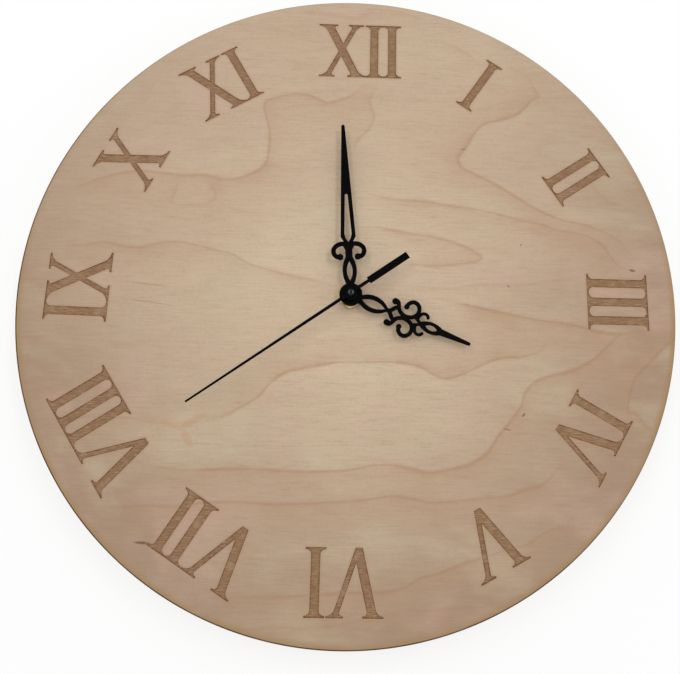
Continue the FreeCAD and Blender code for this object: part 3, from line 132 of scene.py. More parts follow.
# Growth lines of the veneer, traced on the dial in millimetres, rightwards and upwards.
# Each one has its depth, the width of the brown band that fades away from it, and its points.
# The band lies to the right of the way along the points.
GROWTH_LINES = {
    "top_left_wave": (0.8, 9, [
        (-146, 45), (-140, 48), (-128, 50), (-120, 53), (-110, 56.5), (-100, 58), (-90, 57.5),
        (-80, 56.5), (-70, 57), (-60, 55), (-52, 56.5), (-45, 60), (-41.5, 64), (-40.5, 70), (-40.5, 80),
        (-43, 90), (-43, 95), (-38, 97.5), (-30, 99.5), (-24, 99.5), (-18, 97.5), (-13, 95.5), (-8, 97),
        (-3, 99), (0, 101), (5, 105), (18, 108)]),
    "top_fold": (0.5, 6, [(12, 105), (8, 100), (7.5, 95), (9.5, 90), (8, 84), (4, 79), (1, 75), (0, 68)]),
    "left_island": (0.35, 4, [
        (-84, 57), (-82, 50), (-84, 43), (-75, 42), (-68, 43), (-64, 47), (-67, 52), (-72, 56)]),
    "left_middle": (0.7, 8, [
        (-147, 20), (-130, 21), (-120, 22), (-112, 23), (-105, 21.5), (-97, 21), (-90, 23), (-80, 24),
        (-70, 22.5), (-62, 20.5), (-55, 19), (-48, 15), (-40, 12.5), (-30, 10), (-20, 8), (-10, 5.5),
        (0, 4)]),
    "top_faint_low": (0.3, 5, [(-50, 140), (-44, 137), (-38, 134), (-30, 132), (-20, 131.5)]),
    "top_faint_high": (0.3, 5, [(-30, 145), (-15, 143), (0, 142), (5, 144)]),
    "top_right_high": (0.3, 5, [(0, 145), (10, 147), (25, 145), (35, 141)]),
    "top_right_low": (0.3, 5, [(30, 130), (40, 130), (48, 128), (55, 124), (60, 120)]),
    "right_tongue": (0.9, 8, [
        (65, 119), (75, 117), (84, 113), (88, 106), (90, 102), (86, 100), (83, 96), (78, 92), (70, 89),
        (63, 87), (58, 82), (54, 75), (51, 71), (50, 68), (52, 64), (60, 60), (68, 56), (76, 51),
        (84, 46), (92, 42), (100, 39), (110, 37), (118, 34), (125, 30), (130, 24), (136, 20)]),
    "right_slope": (0.8, 7, [
        (3, 54), (8, 50), (15, 48), (22, 47), (32, 47), (42, 45.5), (50, 44.5), (60, 43), (70, 41),
        (80, 38.5), (90, 36.5), (97, 34), (105, 33), (112, 31), (118, 27), (121, 22), (124, 18),
        (130, 15), (138, 12)]),
    "right_loop": (0.7, 6, [
        (0, 33), (10, 33.5), (20, 32), (30, 30.5), (40, 29), (50, 26), (57, 23), (60.5, 20), (58, 18),
        (50, 16.5), (40, 15.5), (30, 15.5), (20, 16)]),
    "right_faint": (0.3, 5, [
        (30, 6), (35, 5), (45, 5), (55, 6.5), (65, 7.5), (75, 7.5), (85, 8.5), (95, 10), (105, 12)]),
    "right_patch": (0.4, 5, [(112, 60), (118, 52), (125, 48), (130, 48)]),
    "right_amber": (1.0, 8, [
        (38, 0), (50, -2), (60, -4), (70, -6), (80, -8), (90, -9.5), (100, -10.5), (110, -13),
        (120, -14.5), (130, -14), (148, -11)]),
    "lower_sweep": (0.9, 8, [
        (95, -18), (90, -20), (85, -24), (78, -26), (68, -27), (60, -30), (52, -34), (44, -36.5),
        (38, -35), (33, -32), (25, -30), (15, -29.5), (5, -30), (-5, -30), (-10, -31), (-20, -33),
        (-28, -35), (-35, -40), (-40, -46), (-48, -51), (-55, -55), (-65, -57), (-72, -60)]),
    "lower_left": (0.4, 6, [(-80, -59), (-90, -57), (-100, -56), (-115, -56)]),
    "left_short": (0.3, 5, [(-130, -45), (-140, -45)]),
    "lower_middle": (0.9, 8, [
        (-100, -75), (-90, -75), (-80, -77), (-70, -78), (-60, -77.5), (-40, -77), (-20, -78),
        (-10, -77.5), (0, -77), (10, -75), (20, -74.5), (28, -76), (35, -77.5), (45, -76), (55, -73),
        (62, -68), (66, -62), (72, -55), (77, -48), (79, -42), (84, -37), (92, -34), (100, -32),
        (110, -27), (118, -20), (124, -15), (132, -12.5), (140, -11), (148, -10)]),
    "low_line": (0.8, 8, [
        (-112, -94), (-100, -95), (-90, -93), (-70, -93), (-60, -91), (-45, -91), (-30, -91.5),
        (-15, -91), (0, -90), (10, -89), (20, -87.5), (28, -88.5), (36, -90), (50, -89), (60, -88),
        (70, -87), (78, -84), (85, -82), (90, -78), (94, -72), (97, -66)]),
    "foot_line": (0.8, 8, [
        (-65, -128), (-50, -129), (-30, -129), (-10, -128), (5, -127), (15, -127), (25, -125), (32, -121),
        (40, -119), (50, -115), (60, -112), (70, -109), (78, -107), (84, -103), (92, -100), (105, -100),
        (112, -100)]),
    "right_bay": (0.9, 6, [
        (152, -14), (144, -20), (136, -28), (130, -34), (127, -40), (125, -50), (128, -50), (133, -56),
        (138, -60)]),
    "foot_faint": (0.35, 5, [
        (-60, -143), (-30, -141), (-10, -141), (10, -137), (30, -134), (50, -133), (70, -131)]),
}

# An orange fork in the veneer: three short marks, given as the knots below are.
AMBER_MARKS = [(-78, -58.4, 4.8, 1.3, -18), (-70, -64.5, 4.4, 1.8, -55), (-67.5, -56.8, 7, 1.4, 28)]

# Small dark marks of the veneer: rightwards, upwards, half length, half height and tilt in degrees.
PIN_KNOTS = [
    (131, 15.4, 1.9, 0.7, -8), (72.6, 6.6, 0.9, 0.4, -38), (79, 26.5, 0.9, 0.35, 60),
    (52.6, 73.6, 2.0, 0.3, 0), (78, -52, 1.5, 0.5, 50), (70.5, -58.5, 2.4, 0.28, -12),
    (-85.5, -108, 4.5, 0.7, -3),
]

# Two long faint streaks beside the IX, given in the same way.
STREAKS = [(-91, 3.8, 17, 0.36, -6.5), (-91, -4.4, 18, 0.34, -7)]


class DialSettings(bpy.types.PropertyGroup):
    """Sizes and colours of the wooden disc."""

    net_spacing: length("Net Spacing", "Distance between the points of the face", 1.5)
    line_margin: length("Line Margin", "Distance from a growth line to its outer rows of points", 0.55)
    cut_margin: length("Cut Margin", "Distance from a numeral's outline to its rows of points", 0.45)
    edge_round: length("Edge Round", "Radius that the rim's edges are sanded to", 0.25)
    rim_steps: IntProperty(name="Rim Steps", description="Points round the rim", default=720, min=96)
    # Pale Wood in the middle and at the top, Warm Wood at the rim and the foot: partly the birch's tone and
    # partly painted shade.
    pale: colour("Pale Wood", "Birch at the middle and the top of the dial", 203, 181, 154)
    warm_and_shaded: colour("Warm Wood", "Birch towards the rim and the foot of the dial", 165, 138, 115)
    band: colour("Growth Band", "The brown that fades away from a growth line", 173, 135, 103)
    line: colour("Growth Line", "The thin line itself", 154, 113, 82)
    rosy: colour("Rosy Patch", "Patches with a pinkish cast", 194, 165, 146)
    ashen: colour("Ashen Patch", "Patches with a grey cast", 192, 178, 150)
    amber: colour("Amber Mark", "The small orange fork at lower left", 186, 143, 106)
    knot: colour("Knot", "Pin knots and mineral streaks", 84, 56, 36)
    engraving: colour("Engraving", "The scanned floor of a numeral", 141, 108, 79)
    streak: colour("Streak", "Pale streaks of the scan in a numeral", 172, 144, 116)
    outline: colour("Outline", "The scorched edge of a numeral", 112, 80, 56)
    rim_glow: colour("Rim Glow", "The orange ring that the cut leaves", 158, 125, 78)
    # Rim Burn colours the charred side and the rim's dark line; at the front's lower left that line is
    # partly painted shade.
    rim_char_and_shade: colour("Rim Burn", "The charred edge of the disc", 60, 43, 28)
    glow_width: length("Glow Width", "How far the cut's heat reaches inwards", 3.8)
    band_depth: share("Band Depth", "How strongly the growth bands show", 0.44)
    line_depth: share("Line Depth", "How strongly the thin lines show", 0.34)


class HandSettings(bpy.types.PropertyGroup):
    """Finish of the hands and their collets."""

    black: colour("Black Lacquer", "Paint of the stamped hands", 2, 2, 3)
    bare: colour("Worn Edge", "Grey that shows where the paint is thin", 9, 9, 10)
    edge_round: length("Edge Round", "Radius that the paint gives the stamped edges", 0.07)
    gloss: share("Roughness", "Roughness of the lacquer", 0.3)
    cap_dome: length("Cap Dome", "Radius of the ball that the second hand's cap is a part of", 4.6)
    cap_round: length("Cap Round", "Radius of the round on the cap's rim", 0.3)


class MetalSettings(bpy.types.PropertyGroup):
    """Finish of the nut, washers, hanger, arbors and contacts."""

    brass: colour("Brass", "Nut and washer", 186, 168, 112)
    tarnish: colour("Tarnish", "Brown film in the brass's corners", 104, 88, 44)
    steel: colour("Steel", "Zinc-plated hanger and nickelled contacts", 176, 176, 172)
    dark_steel: colour("Iron", "Soft iron of the coil core and stator", 104, 102, 100)
    copper: colour("Copper", "Enamelled wire of the coil", 176, 96, 52)
    edge_round: length("Edge Round", "Radius of the broken edges", 0.12)


class MovementSettings(bpy.types.PropertyGroup):
    """Finish of the case, gears, board and battery."""

    case: colour("Case", "Black moulded case and cover", 34, 34, 36)
    plate: colour("Train Plate", "Natural moulded plate between the gears", 206, 202, 190)
    gear: colour("Gear", "White acetal of the wheels", 226, 224, 214)
    knob: colour("Knob", "Setting knob", 168, 40, 32)
    board: colour("Board", "Green laminate", 38, 92, 58)
    resin: colour("Resin", "Drop over the chip", 18, 18, 20)
    rubber: colour("Rubber", "Washer behind the disc", 30, 30, 30)
    sleeve: colour("Battery Sleeve", "Plain wrap of the battery", 96, 100, 106)
    edge_round: length("Edge Round", "Radius of the moulded edges", 0.35)


class StageSettings(bpy.types.PropertyGroup):
    """Wall, lamps and camera."""

    wall: colour("Wall", "Colour of the wall and floor", 255, 255, 255)
    wall_gap: length("Wall Gap", "Distance from the case's back to the wall", 0.6)
    drop: number("Drop", "Height of the floor below the dial", 1.2, unit="LENGTH")
    reach: number("Reach", "Half width of the wall", 4, unit="LENGTH")
    right_power: number("Right Lamp", "Power of the lamp at upper right, in watts", 2.0)
    left_power: number("Left Lamp", "Power of the lamp at upper left, in watts", 1.6)
    back_power: number("Back Lamp", "Power of the lamp behind the wall, in watts", 2.0)
    sky: number("Sky", "Strength of the white world", 0.74)
    wall_glow: share("Wall Glow", "How much of the shadow on the wall the white hides", 0.70)
    camera_place: FloatVectorProperty(
        name="Camera Place", description="Where the camera stands", default=(-0.00102, -0.32768, -0.06488),
        size=3, subtype="TRANSLATION", unit="LENGTH",
    )
    camera_turn: FloatVectorProperty(
        name="Camera Turn", description="The camera's turn about X, Y and Z",
        default=[math.radians(turn) for turn in (101.3139, -0.8723, -1.9535)], size=3, subtype="EULER",
    )
    camera_lens: number("Lens", "Focal length in millimetres", 36.2647)
    camera_shift: FloatVectorProperty(
        name="Shift", description="Shift of the frame, sideways and upwards",
        default=(-0.04293, -0.04695), size=2,
    )


EFFECTS = {}


class Signal:
    """A value in a node tree. Arithmetic with it lays maths nodes."""

    def __init__(self, bench, socket):
        self.bench = bench
        self.socket = socket

    def __add__(self, other):
        return self.bench.maths("ADD", self, other)

    def __sub__(self, other):
        return self.bench.maths("SUBTRACT", self, other)

    def __rsub__(self, other):
        return self.bench.maths("SUBTRACT", other, self)

    def __mul__(self, other):
        return self.bench.maths("MULTIPLY", self, other)

    def __truediv__(self, other):
        return self.bench.maths("DIVIDE", self, other)


class Bench:
    """Lays nodes out in one tree. An input that is given a signal is linked, and any other value is set."""

    def __init__(self, tree):
        self.tree = tree

    def put(self, kind, inputs=None, **settings):
        """A new node with its settings, and its inputs by name or number."""
        node = self.tree.nodes.new(kind)
        for name, value in settings.items():
            setattr(node, name, value)
        for name, value in (inputs or {}).items():
            self.join(value, node.inputs[name])
        return node

    def join(self, value, socket):
        """Links a signal to the socket, or sets the socket's own value."""
        if isinstance(value, Signal):
            self.tree.links.new(value.socket, socket)
        elif socket.type == "RGBA":
            socket.default_value = (*value, 1)
        else:
            socket.default_value = value

    def result(self, output, kind, inputs=None, **settings):
        """One output of a new node, by name or number."""
        return Signal(self, self.put(kind, inputs, **settings).outputs[output])

    def results(self, kind, inputs=None, **settings):
        """All outputs of a new node, by name."""
        return {socket.name: Signal(self, socket) for socket in self.put(kind, inputs, **settings).outputs}

    def maths(self, operation, *values):
        return self.result(0, "ShaderNodeMath", dict(enumerate(values)), operation=operation)

    def span(self, value, low, high, start=0.0, end=1.0, kind="SMOOTHSTEP"):
        """Start up to low, end from high, and a smooth passage between."""
        inputs = {"Value": value, "From Min": low, "From Max": high, "To Min": start, "To Max": end}
        return self.result(0, "ShaderNodeMapRange", inputs, interpolation_type=kind)

    def slope(self, value, low, high, start=0.0, end=1.0):
        """Start up to low, end from high, and a straight passage between."""
        return self.span(value, low, high, start, end, "LINEAR")

    def mix(self, amount, first, second, kind="MIX"):
        """The second colour laid over the first. The amount is held between 0 and 1."""
        inputs = {0: amount, 6: first, 7: second}
        return self.result(2, "ShaderNodeMix", inputs, data_type="RGBA", blend_type=kind)

    def place(self):
        """The object's own coordinates."""
        return self.result("Object", "ShaderNodeTexCoord")

    def split(self, vector):
        return self.results("ShaderNodeSeparateXYZ", {0: vector}).values()

    def from_axis(self, x, z):
        """The distance from the clock's axis: the root of x times x plus z times z."""
        return self.maths("SQRT", x * x + z * z)

    def scaled(self, vector, *factors):
        return self.result(0, "ShaderNodeMapping", {"Vector": vector, "Scale": factors})

    def noise(self, vector, scale, detail, rough=0.5, bend=0.0):
        shape = {"Scale": scale, "Detail": detail, "Roughness": rough, "Distortion": bend}
        return self.result("Fac", "ShaderNodeTexNoise", {"Vector": vector, **shape})

    def grain(self, vector, factors, detail, rough=0.5, bend=0.0):
        """A noise that is finer along the axes with the larger factors."""
        return self.noise(self.scaled(vector, *factors), 1, detail, rough, bend)

    def field(self, name):
        """A value that the mesh carries at its points."""
        return self.result("Fac", "ShaderNodeAttribute", attribute_type="GEOMETRY", attribute_name=name)

    def bump(self, height, distance, strength=1.0):
        inputs = {"Height": height, "Distance": distance, "Strength": strength}
        return self.result(0, "ShaderNodeBump", inputs)

    def group(self, maker, **inputs):
        """The outputs of the node group that the maker builds. It is built once and then shared."""
        if maker not in EFFECTS:
            EFFECTS[maker] = maker()
        return self.results("ShaderNodeGroup", inputs, node_tree=EFFECTS[maker])


class Finish(Bench):
    """The bench of a new material with a Principled shader, whose own sockets take the plain values."""

    def __init__(self, name, **plain):
        self.material = bpy.data.materials.new(name)
        self.material.use_nodes = True
        super().__init__(self.material.node_tree)
        self.tree.nodes.clear()
        self.shader = self.put("ShaderNodeBsdfPrincipled")
        self.lit = Signal(self, self.shader.outputs[0])
        self.output = self.put("ShaderNodeOutputMaterial", {0: self.lit})
        self.fill(**plain)

    def fill(self, **inputs):
        for name, value in inputs.items():
            self.join(value, self.shader.inputs[name.replace("_", " ")])

    def done(self, tone, roughness, bump):
        """The material, with its colour, roughness and normal given to the shader."""
        self.fill(Base_Color=tone, Roughness=roughness, Normal=bump)
        return self.material


def effect(name, numbers, *outputs):
    """A new node group with a vector and some numbers as inputs: its bench, inputs and outputs."""
    tree = bpy.data.node_groups.new(name, "ShaderNodeTree")
    tree.interface.new_socket("Vector", in_out="INPUT", socket_type="NodeSocketVector")
    for label, value in numbers.items():
        socket = tree.interface.new_socket(label, in_out="INPUT", socket_type="NodeSocketFloat")
        socket.default_value = value
    for label in outputs:
        tree.interface.new_socket(label, in_out="OUTPUT", socket_type="NodeSocketFloat")
    bench = Bench(tree)
    return bench, bench.results("NodeGroupInput"), bench.put("NodeGroupOutput").inputs


def skin_grain():
    """Fine even unevenness, as of moulded plastic or paint: two noises, one eight times as fine."""
    bench, given, made = effect("skin_grain", {"Scale": 4000.0, "Fine Share": 0.4}, "Height")
    coarse = bench.noise(given["Vector"], given["Scale"], 2)
    fine = bench.noise(given["Vector"], given["Scale"] * 8.0, 1)
    bench.join(fine * given["Fine Share"] + coarse, made["Height"])
    return bench.tree


def handling():
    """Patches where hands or damp have dulled a surface, from a broad noise cut to soft-edged islands."""
    bench, given, made = effect("handling", {"Scale": 60.0, "Amount": 0.5}, "Mask", "Roughness")
    island = bench.span(bench.noise(given["Vector"], given["Scale"], 4, 0.6), 0.48, 0.72)
    bench.join(island * given["Amount"], made["Mask"])
    bench.join(island * 0.18, made["Roughness"])
    return bench.tree


def lathe_rings():
    """Rings that a turning tool leaves: a noise of the distance from the clock's axis and along it."""
    bench, given, made = effect("lathe_rings", {"Fineness": 6000.0}, "Height")
    x, y, z = bench.split(given["Vector"])
    spot = bench.result(0, "ShaderNodeCombineXYZ", {0: bench.from_axis(x, z), 1: y})
    bench.join(bench.noise(spot, given["Fineness"], 2, 0.7), made["Height"])
    return bench.tree


def worn(name, tone, dull_tone, roughness, depth, grain, patch_scale, patches, rings=0.0, **plain):
    """A skin with a fine grain or turning rings in its bump, and rougher soft patches of a second tone."""
    bench = Finish(name, **plain)
    spot = bench.place()
    dull = bench.group(handling, Vector=spot, Scale=patch_scale, Amount=patches)
    height = bench.group(skin_grain, Vector=spot, Scale=grain)["Height"]
    if rings:
        height = bench.group(lathe_rings, Vector=spot)["Height"] * rings + height
    tone = bench.mix(dull["Mask"], tone, dull_tone)
    return bench.done(tone, dull["Roughness"] + roughness, bench.bump(height, depth))


def metal(name, tone, stain, roughness, rings=0.0, stains=0.5, grain=5000.0):
    """Metal with a stain in soft patches, and turning rings or a fine rolled grain."""
    return worn(name, tone, stain, roughness, depth=0.012 * MM, grain=grain, patch_scale=260.0,
                patches=stains, rings=rings, Metallic=1.0)


def moulding(name, tone, roughness, depth=0.03 * MM, grain=2600.0, **plain):
    """Moulded plastic: a fine spark-eroded skin, and slow changes of tone and gloss."""
    darker = [part * 0.72 for part in tone]
    return worn(name, tone, darker, roughness, depth, grain, patch_scale=90.0, patches=0.12, **plain)


def lacquer(settings):
    """Black paint over stamped brass: a slight orange skin, and a greyer tone in worn patches."""
    return worn("black_lacquer", settings.black, settings.bare, settings.gloss, depth=0.01 * MM,
                grain=1800.0, patch_scale=220.0, patches=0.3, Specular_IOR_Level=0.03)


def points_of(mesh):
    """A mesh's points and triangles, with points in one place counted as one."""
    mesh.calc_loop_triangles()
    spots = np.empty(len(mesh.vertices) * 3, np.float32)
    mesh.vertices.foreach_get("co", spots)
    corners = np.empty(len(mesh.loop_triangles) * 3, np.int32)
    mesh.loop_triangles.foreach_get("vertices", corners)
    spots = spots.reshape(-1, 3).astype(float)
    kept, where = np.unique(np.round(spots, 6), axis=0, return_inverse=True)
    return kept, where.ravel()[corners].reshape(-1, 3)


def open_edges(triangles):
    """The edges that only one triangle has, in that triangle's direction."""
    edges = np.concatenate([triangles[:, [0, 1]], triangles[:, [1, 2]], triangles[:, [2, 0]]])
    first, counts = np.unique(np.sort(edges, axis=1), axis=0, return_index=True, return_counts=True)[1:]
    return edges[first[counts == 1]]


def revolved(radii, depths, steps):
    """Points of a profile carried round the clock's axis in even steps, one ring after the other."""
    turn = np.arange(steps) * (2 * math.pi / steps)
    radii, depths = np.array(radii)[:, None], np.array(depths)[:, None]
    rings = np.broadcast_arrays(radii * np.cos(turn), depths, radii * np.sin(turn))
    return np.stack(rings, 2).reshape(-1, 3)


def strip_faces(rows, columns, closed=True):
    """The quads between rows of points: each goes from a point to the next row, along it, and back."""
    r, c = np.meshgrid(np.arange(rows - 1), np.arange(columns if closed else columns - 1), indexing="ij")
    here, there = (r * columns + c).ravel(), (r * columns + (c + 1) % columns).ravel()
    return np.column_stack([here, here + columns, there + columns, there])


def smooth(mesh, angle):
    mesh.shade_smooth()
    mesh.set_sharp_from_angle(angle=angle)


def coat(mesh, material):
    """Gives a mesh its one material."""
    mesh.materials.clear()
    mesh.materials.append(material)


def add(name, data):
    """A new object in the scene."""
    made = bpy.data.objects.new(name, data)
    bpy.context.scene.collection.objects.link(made)
    return made


def dressed(node, material, rounding):
    """A merged copy of a CAD node with its edges rounded, standing in the node's place."""
    source = NODES[node]
    form = bmesh.new()
    form.from_mesh(source.data)
    bmesh.ops.remove_doubles(form, verts=form.verts, dist=TOUCH)
    bmesh.ops.dissolve_limit(form, angle_limit=FLAT_ANGLE, verts=form.verts, edges=form.edges)
    mesh = bpy.data.meshes.new(node + "_finished")
    form.to_mesh(mesh)
    form.free()
    if "custom_normal" in mesh.attributes:
        mesh.attributes.remove(mesh.attributes["custom_normal"])
    smooth(mesh, SHARP_ANGLE)
    coat(mesh, material)
    made = add(node + "_finished", mesh)
    if rounding:
        edge = made.modifiers.new("rounded_edges", "BEVEL")
        edge.width = rounding
        edge.segments = 2
        edge.limit_method = "ANGLE"
        edge.angle_limit = SHARP_ANGLE
        edge.harden_normals = True
    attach(made, source["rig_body"])
    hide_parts(node)
    return made


def capped_tube(node, ball, rounding, steps=72):
    """The second hand's tube, turned: its blind bore, its lip, and a domed front with a rounded rim.

    The dome is part of a ball, and the round on the rim is an arc that touches both the ball and the tube.
    """
    points = points_of(NODES[node].data)[0]
    radii, depths = np.hypot(points[:, 0], points[:, 2]), points[:, 1]
    back, front = depths.max(), depths.min()
    bore, lip = radii.min(), radii.max()
    bore_end = depths[radii < bore + TOUCH].min()
    on_lip = depths[radii > lip - TOUCH]
    tube = radii[depths > back - TOUCH].max()
    shoulder = math.asin((tube - rounding) / (ball - rounding))
    middle = front + ball - (ball - rounding) * math.cos(shoulder)
    nearly_flat = 0.01
    bend = np.linspace(math.pi / 2, shoulder, 8)
    dome = np.linspace(shoulder, nearly_flat, 24)[1:]
    across = [bore, bore, tube, tube, lip, lip, tube]
    along = [bore_end, back, back, on_lip.max(), on_lip.max(), on_lip.min(), on_lip.min()]
    across += [*(tube - rounding + rounding * np.sin(bend)), *(ball * np.sin(dome))]
    along += [*(middle - rounding * np.cos(bend)), *(front + ball * (1 - np.cos(dome)))]
    last = (len(across) - 1) * steps
    ends = [list(range(steps)), list(range(last, last + steps))[::-1]]
    mesh = bpy.data.meshes.new("second_cap")
    faces = strip_faces(len(across), steps).tolist() + ends
    mesh.from_pydata(revolved(across, along, steps).tolist(), [], faces)
    smooth(mesh, math.radians(40))
    return mesh


def flowing(points, steps=6):
    """A curve through the points: cubics whose slope at a point is half the way across its neighbours."""
    p = np.array(points, float)
    ends = np.vstack([2 * p[0] - p[1], p, 2 * p[-1] - p[-2]])
    before, start, end, after = ends[:-3], ends[1:-2], ends[2:-1], ends[3:]
    t = (np.arange(steps) / steps)[None, :, None]
    a, b, c, d = (part[:, None, :] for part in (before, start, end, after))
    square, cube = 2 * a - 5 * b + 4 * c - d, 3 * b - a - 3 * c + d
    curve = 0.5 * (2 * b + (c - a) * t + square * t**2 + cube * t**3)
    return np.vstack([curve.reshape(-1, 2), p[-1:]])


def evenly(curve, spacing):
    """Points along a curve at an even spacing, with the curve's unit normals, to the left of its way."""
    steps = np.linalg.norm(np.diff(curve, axis=0), axis=1)
    run = np.concatenate([[0], np.cumsum(steps)])
    at = np.linspace(0, run[-1], max(int(run[-1] / spacing), 2) + 1)
    spots = np.stack([np.interp(at, run, curve[:, 0]), np.interp(at, run, curve[:, 1])], 1)
    way = np.gradient(spots, axis=0)
    way /= np.linalg.norm(way, axis=1, keepdims=True)
    return spots, np.stack([-way[:, 1], way[:, 0]], 1)


def nearest_on(points, starts, ends):
    """For each point: its distance to the nearest segment, that one's number, and the side (left is 1)."""
    along = ends - starts
    size = np.maximum((along**2).sum(1), 1e-18)  # a segment may have no length
    gaps, sides = np.empty((2, len(points)))
    which = np.empty(len(points), int)
    for low in range(0, len(points), BLOCK):
        part = slice(low, low + BLOCK)
        rel = points[part, None, :] - starts[None]
        t = np.clip((rel * along).sum(2) / size, 0, 1)
        away = rel - t[..., None] * along
        gap = (away**2).sum(2)
        best = gap.argmin(1)
        row = np.arange(len(best))
        gaps[part] = np.sqrt(gap[row, best])
        which[part] = best
        cross = along[best, 0] * rel[row, best, 1] - along[best, 1] * rel[row, best, 0]
        sides[part] = np.where(cross >= 0, 1.0, -1.0)
    return gaps, which, sides


def inside(points, edges_from, edges_to):
    """Which points lie inside closed outlines: a ray to the right crosses an odd number of their edges."""
    answer = np.zeros(len(points), bool)
    ax, ay = edges_from.T
    bx, by = edges_to.T
    rise = np.where(by == ay, 1e-15, by - ay)  # a level edge is never crossed
    for low in range(0, len(points), BLOCK):
        x, y = points[low:low + BLOCK].T[:, :, None]
        crosses = ((ay > y) != (by > y)) & (x < (bx - ax) * (y - ay) / rise + ax)
        answer[low:low + BLOCK] = crosses.sum(1) % 2 == 1
    return answer


def growth_fields(points):
    """The brown band, the gap to the nearest growth line and that line's depth, at each point of the dial.

    A band is the line's depth times e to the minus (gap / band width), to the right of its line. To the
    left it is 0.6 of the depth and 0.5 mm wide. It fades over the line's last fifth at each end. Bands add
    up, to 1 at most. The line's depth is held up to 1.2 mm from it and is gone at 3.2 mm.
    """
    narrow, depth_fall, end_share = 0.5 * MM, 2 * MM, 0.18
    band, depth = np.zeros((2, len(points)))
    gap = np.full(len(points), 20 * MM)
    for strength, width, traced in GROWTH_LINES.values():
        width = width * MM
        curve = flowing(traced) * MM
        low, high = curve.min(0) - 3.5 * width, curve.max(0) + 3.5 * width
        near = np.flatnonzero(((points >= low) & (points <= high)).all(1))
        away, which, side = nearest_on(points[near], curve[:-1], curve[1:])
        share_along = (which + 0.5) / (len(curve) - 1)
        fade = np.clip(np.minimum(share_along, 1 - share_along) / end_share, 0, 1)
        fade = fade * fade * (3 - 2 * fade)
        right, left = np.exp(-away / width), np.exp(-away / narrow) * 0.6
        band[near] += strength * fade * np.where(side < 0, right, left)
        closer = away < gap[near]
        chosen = near[closer]
        gap[chosen] = away[closer]
        depth[chosen] = (strength * fade)[closer] * np.clip(1.6 - away[closer] / depth_fall, 0, 1)
    return np.clip(band, 0, 1), gap, depth


def mark_field(points, marks):
    """Oval marks: 1.4 less the scaled distance from a mark's middle, from 0 to 1, and the most of them."""
    mark = np.zeros(len(points))
    for x, y, half_length, half_height, tilt in marks:
        turn = math.radians(tilt)
        dx, dy = (points - np.array((x, y)) * MM).T / MM
        u = (dx * math.cos(turn) + dy * math.sin(turn)) / half_length
        v = (dy * math.cos(turn) - dx * math.sin(turn)) / half_height
        mark = np.maximum(mark, np.clip(MARK_REACH - np.hypot(u, v), 0, 1))
    return mark


def mark_net(x, y, half_length, half_height, tilt):
    """Close rows of points over an oval mark."""
    turn = math.radians(tilt)
    columns = np.linspace(-MARK_REACH, MARK_REACH, 9 + round(half_length * 4))
    u, v = np.meshgrid(columns, np.linspace(-MARK_REACH, MARK_REACH, 7))
    u, v = u.ravel() * half_length, v.ravel() * half_height
    across, up = x + u * math.cos(turn) - v * math.sin(turn), y + u * math.sin(turn) + v * math.cos(turn)
    return np.stack([across, up], 1) * MM


def thin_out(points, gap):
    """The first point in each cell of a square net, so that few are nearer than the gap."""
    first = np.unique(np.floor(points / gap).astype(np.int64), axis=0, return_index=True)[1]
    return points[np.sort(first)]


def dial_net(settings, cut_from, cut_to, hole_radius, rim_radius):
    """The face's free points, seen from the front: a staggered net with rows along lines and outlines.

    Each edge of an outline has points on both sides of its even parts. The net leaves a lane for the growth
    lines' rows, and no point comes close to an outline, the hole or the rim.
    """
    step = settings.net_spacing
    margin = settings.line_margin
    lane, outline_lane, end_lane = step * 0.62, settings.cut_margin * 0.6, step * 0.5
    rows = np.arange(-rim_radius, rim_radius, step * math.sqrt(3) / 2)
    x, y = np.meshgrid(np.arange(-rim_radius, rim_radius, step), rows)
    x[1::2] += step / 2
    net = np.stack([x.ravel(), y.ravel()], 1)
    lines = [evenly(flowing(traced) * MM, step * 0.7) for strength, width, traced in GROWTH_LINES.values()]
    line_rows = [spots + normals * aside for spots, normals in lines for aside in (0, margin, -margin)]
    line_spots = np.vstack([spots for spots, normals in lines])
    marks = [mark_net(*mark) for mark in PIN_KNOTS + STREAKS]

    way = cut_to - cut_from
    run = np.linalg.norm(way, axis=1, keepdims=True)
    aside = np.stack([-way[:, 1], way[:, 0]], 1) / run * settings.cut_margin
    parts = 1 + np.floor(run[:, 0] / (step * 0.8)).astype(int)
    owner = np.repeat(np.arange(len(parts)), parts)
    order = np.arange(len(owner)) - np.repeat(np.cumsum(parts) - parts, parts)
    middle = cut_from[owner] + way[owner] * ((order + 0.5) / parts[owner])[:, None]
    cut_rows = [middle + aside[owner], middle - aside[owner]]

    far = nearest_on(net, line_spots[:-1], line_spots[:-1])[0] > lane
    rows = thin_out(np.vstack(cut_rows + line_rows + marks), 0.3 * MM)
    free = np.vstack([rows, net[far]])
    clear = nearest_on(free, cut_from, cut_to)[0] > outline_lane
    radius = np.hypot(*free.T)
    return free[clear & (radius < rim_radius - end_lane) & (radius > hole_radius + end_lane)]


def read_disc():
    """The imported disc: the depths of its front, back and floors, its radius, its hole's, and the outlines.

    The numerals' outlines are points seen from the front, and pairs of their numbers, one for each edge.
    They are the front's open edges, less those at the rim and at the hole.
    """
    points, triangles = points_of(NODES["dial_plate"].data)
    depths, radii = points[:, 1], np.hypot(points[:, 0], points[:, 2])
    front, back, outer, hole = depths.min(), depths.max(), radii.max(), radii.min()
    corners = depths[triangles]
    edges = open_edges(triangles[np.abs(corners - front).max(1) < TOUCH])
    reach = radii[edges].max(1)
    cut = edges[(reach <= outer - 1.5 * MM) & (reach >= hole + 0.2 * MM)]
    between = (corners.mean(1) > front + 10 * TOUCH) & (corners.mean(1) < back - 10 * TOUCH)
    floor = corners[between & (np.ptp(corners, axis=1) < TOUCH / 10)].min()
    kept, pairs = np.unique(cut, return_inverse=True)
    return front, back, floor, outer, hole, points[kept][:, [0, 2]], pairs.reshape(-1, 2)


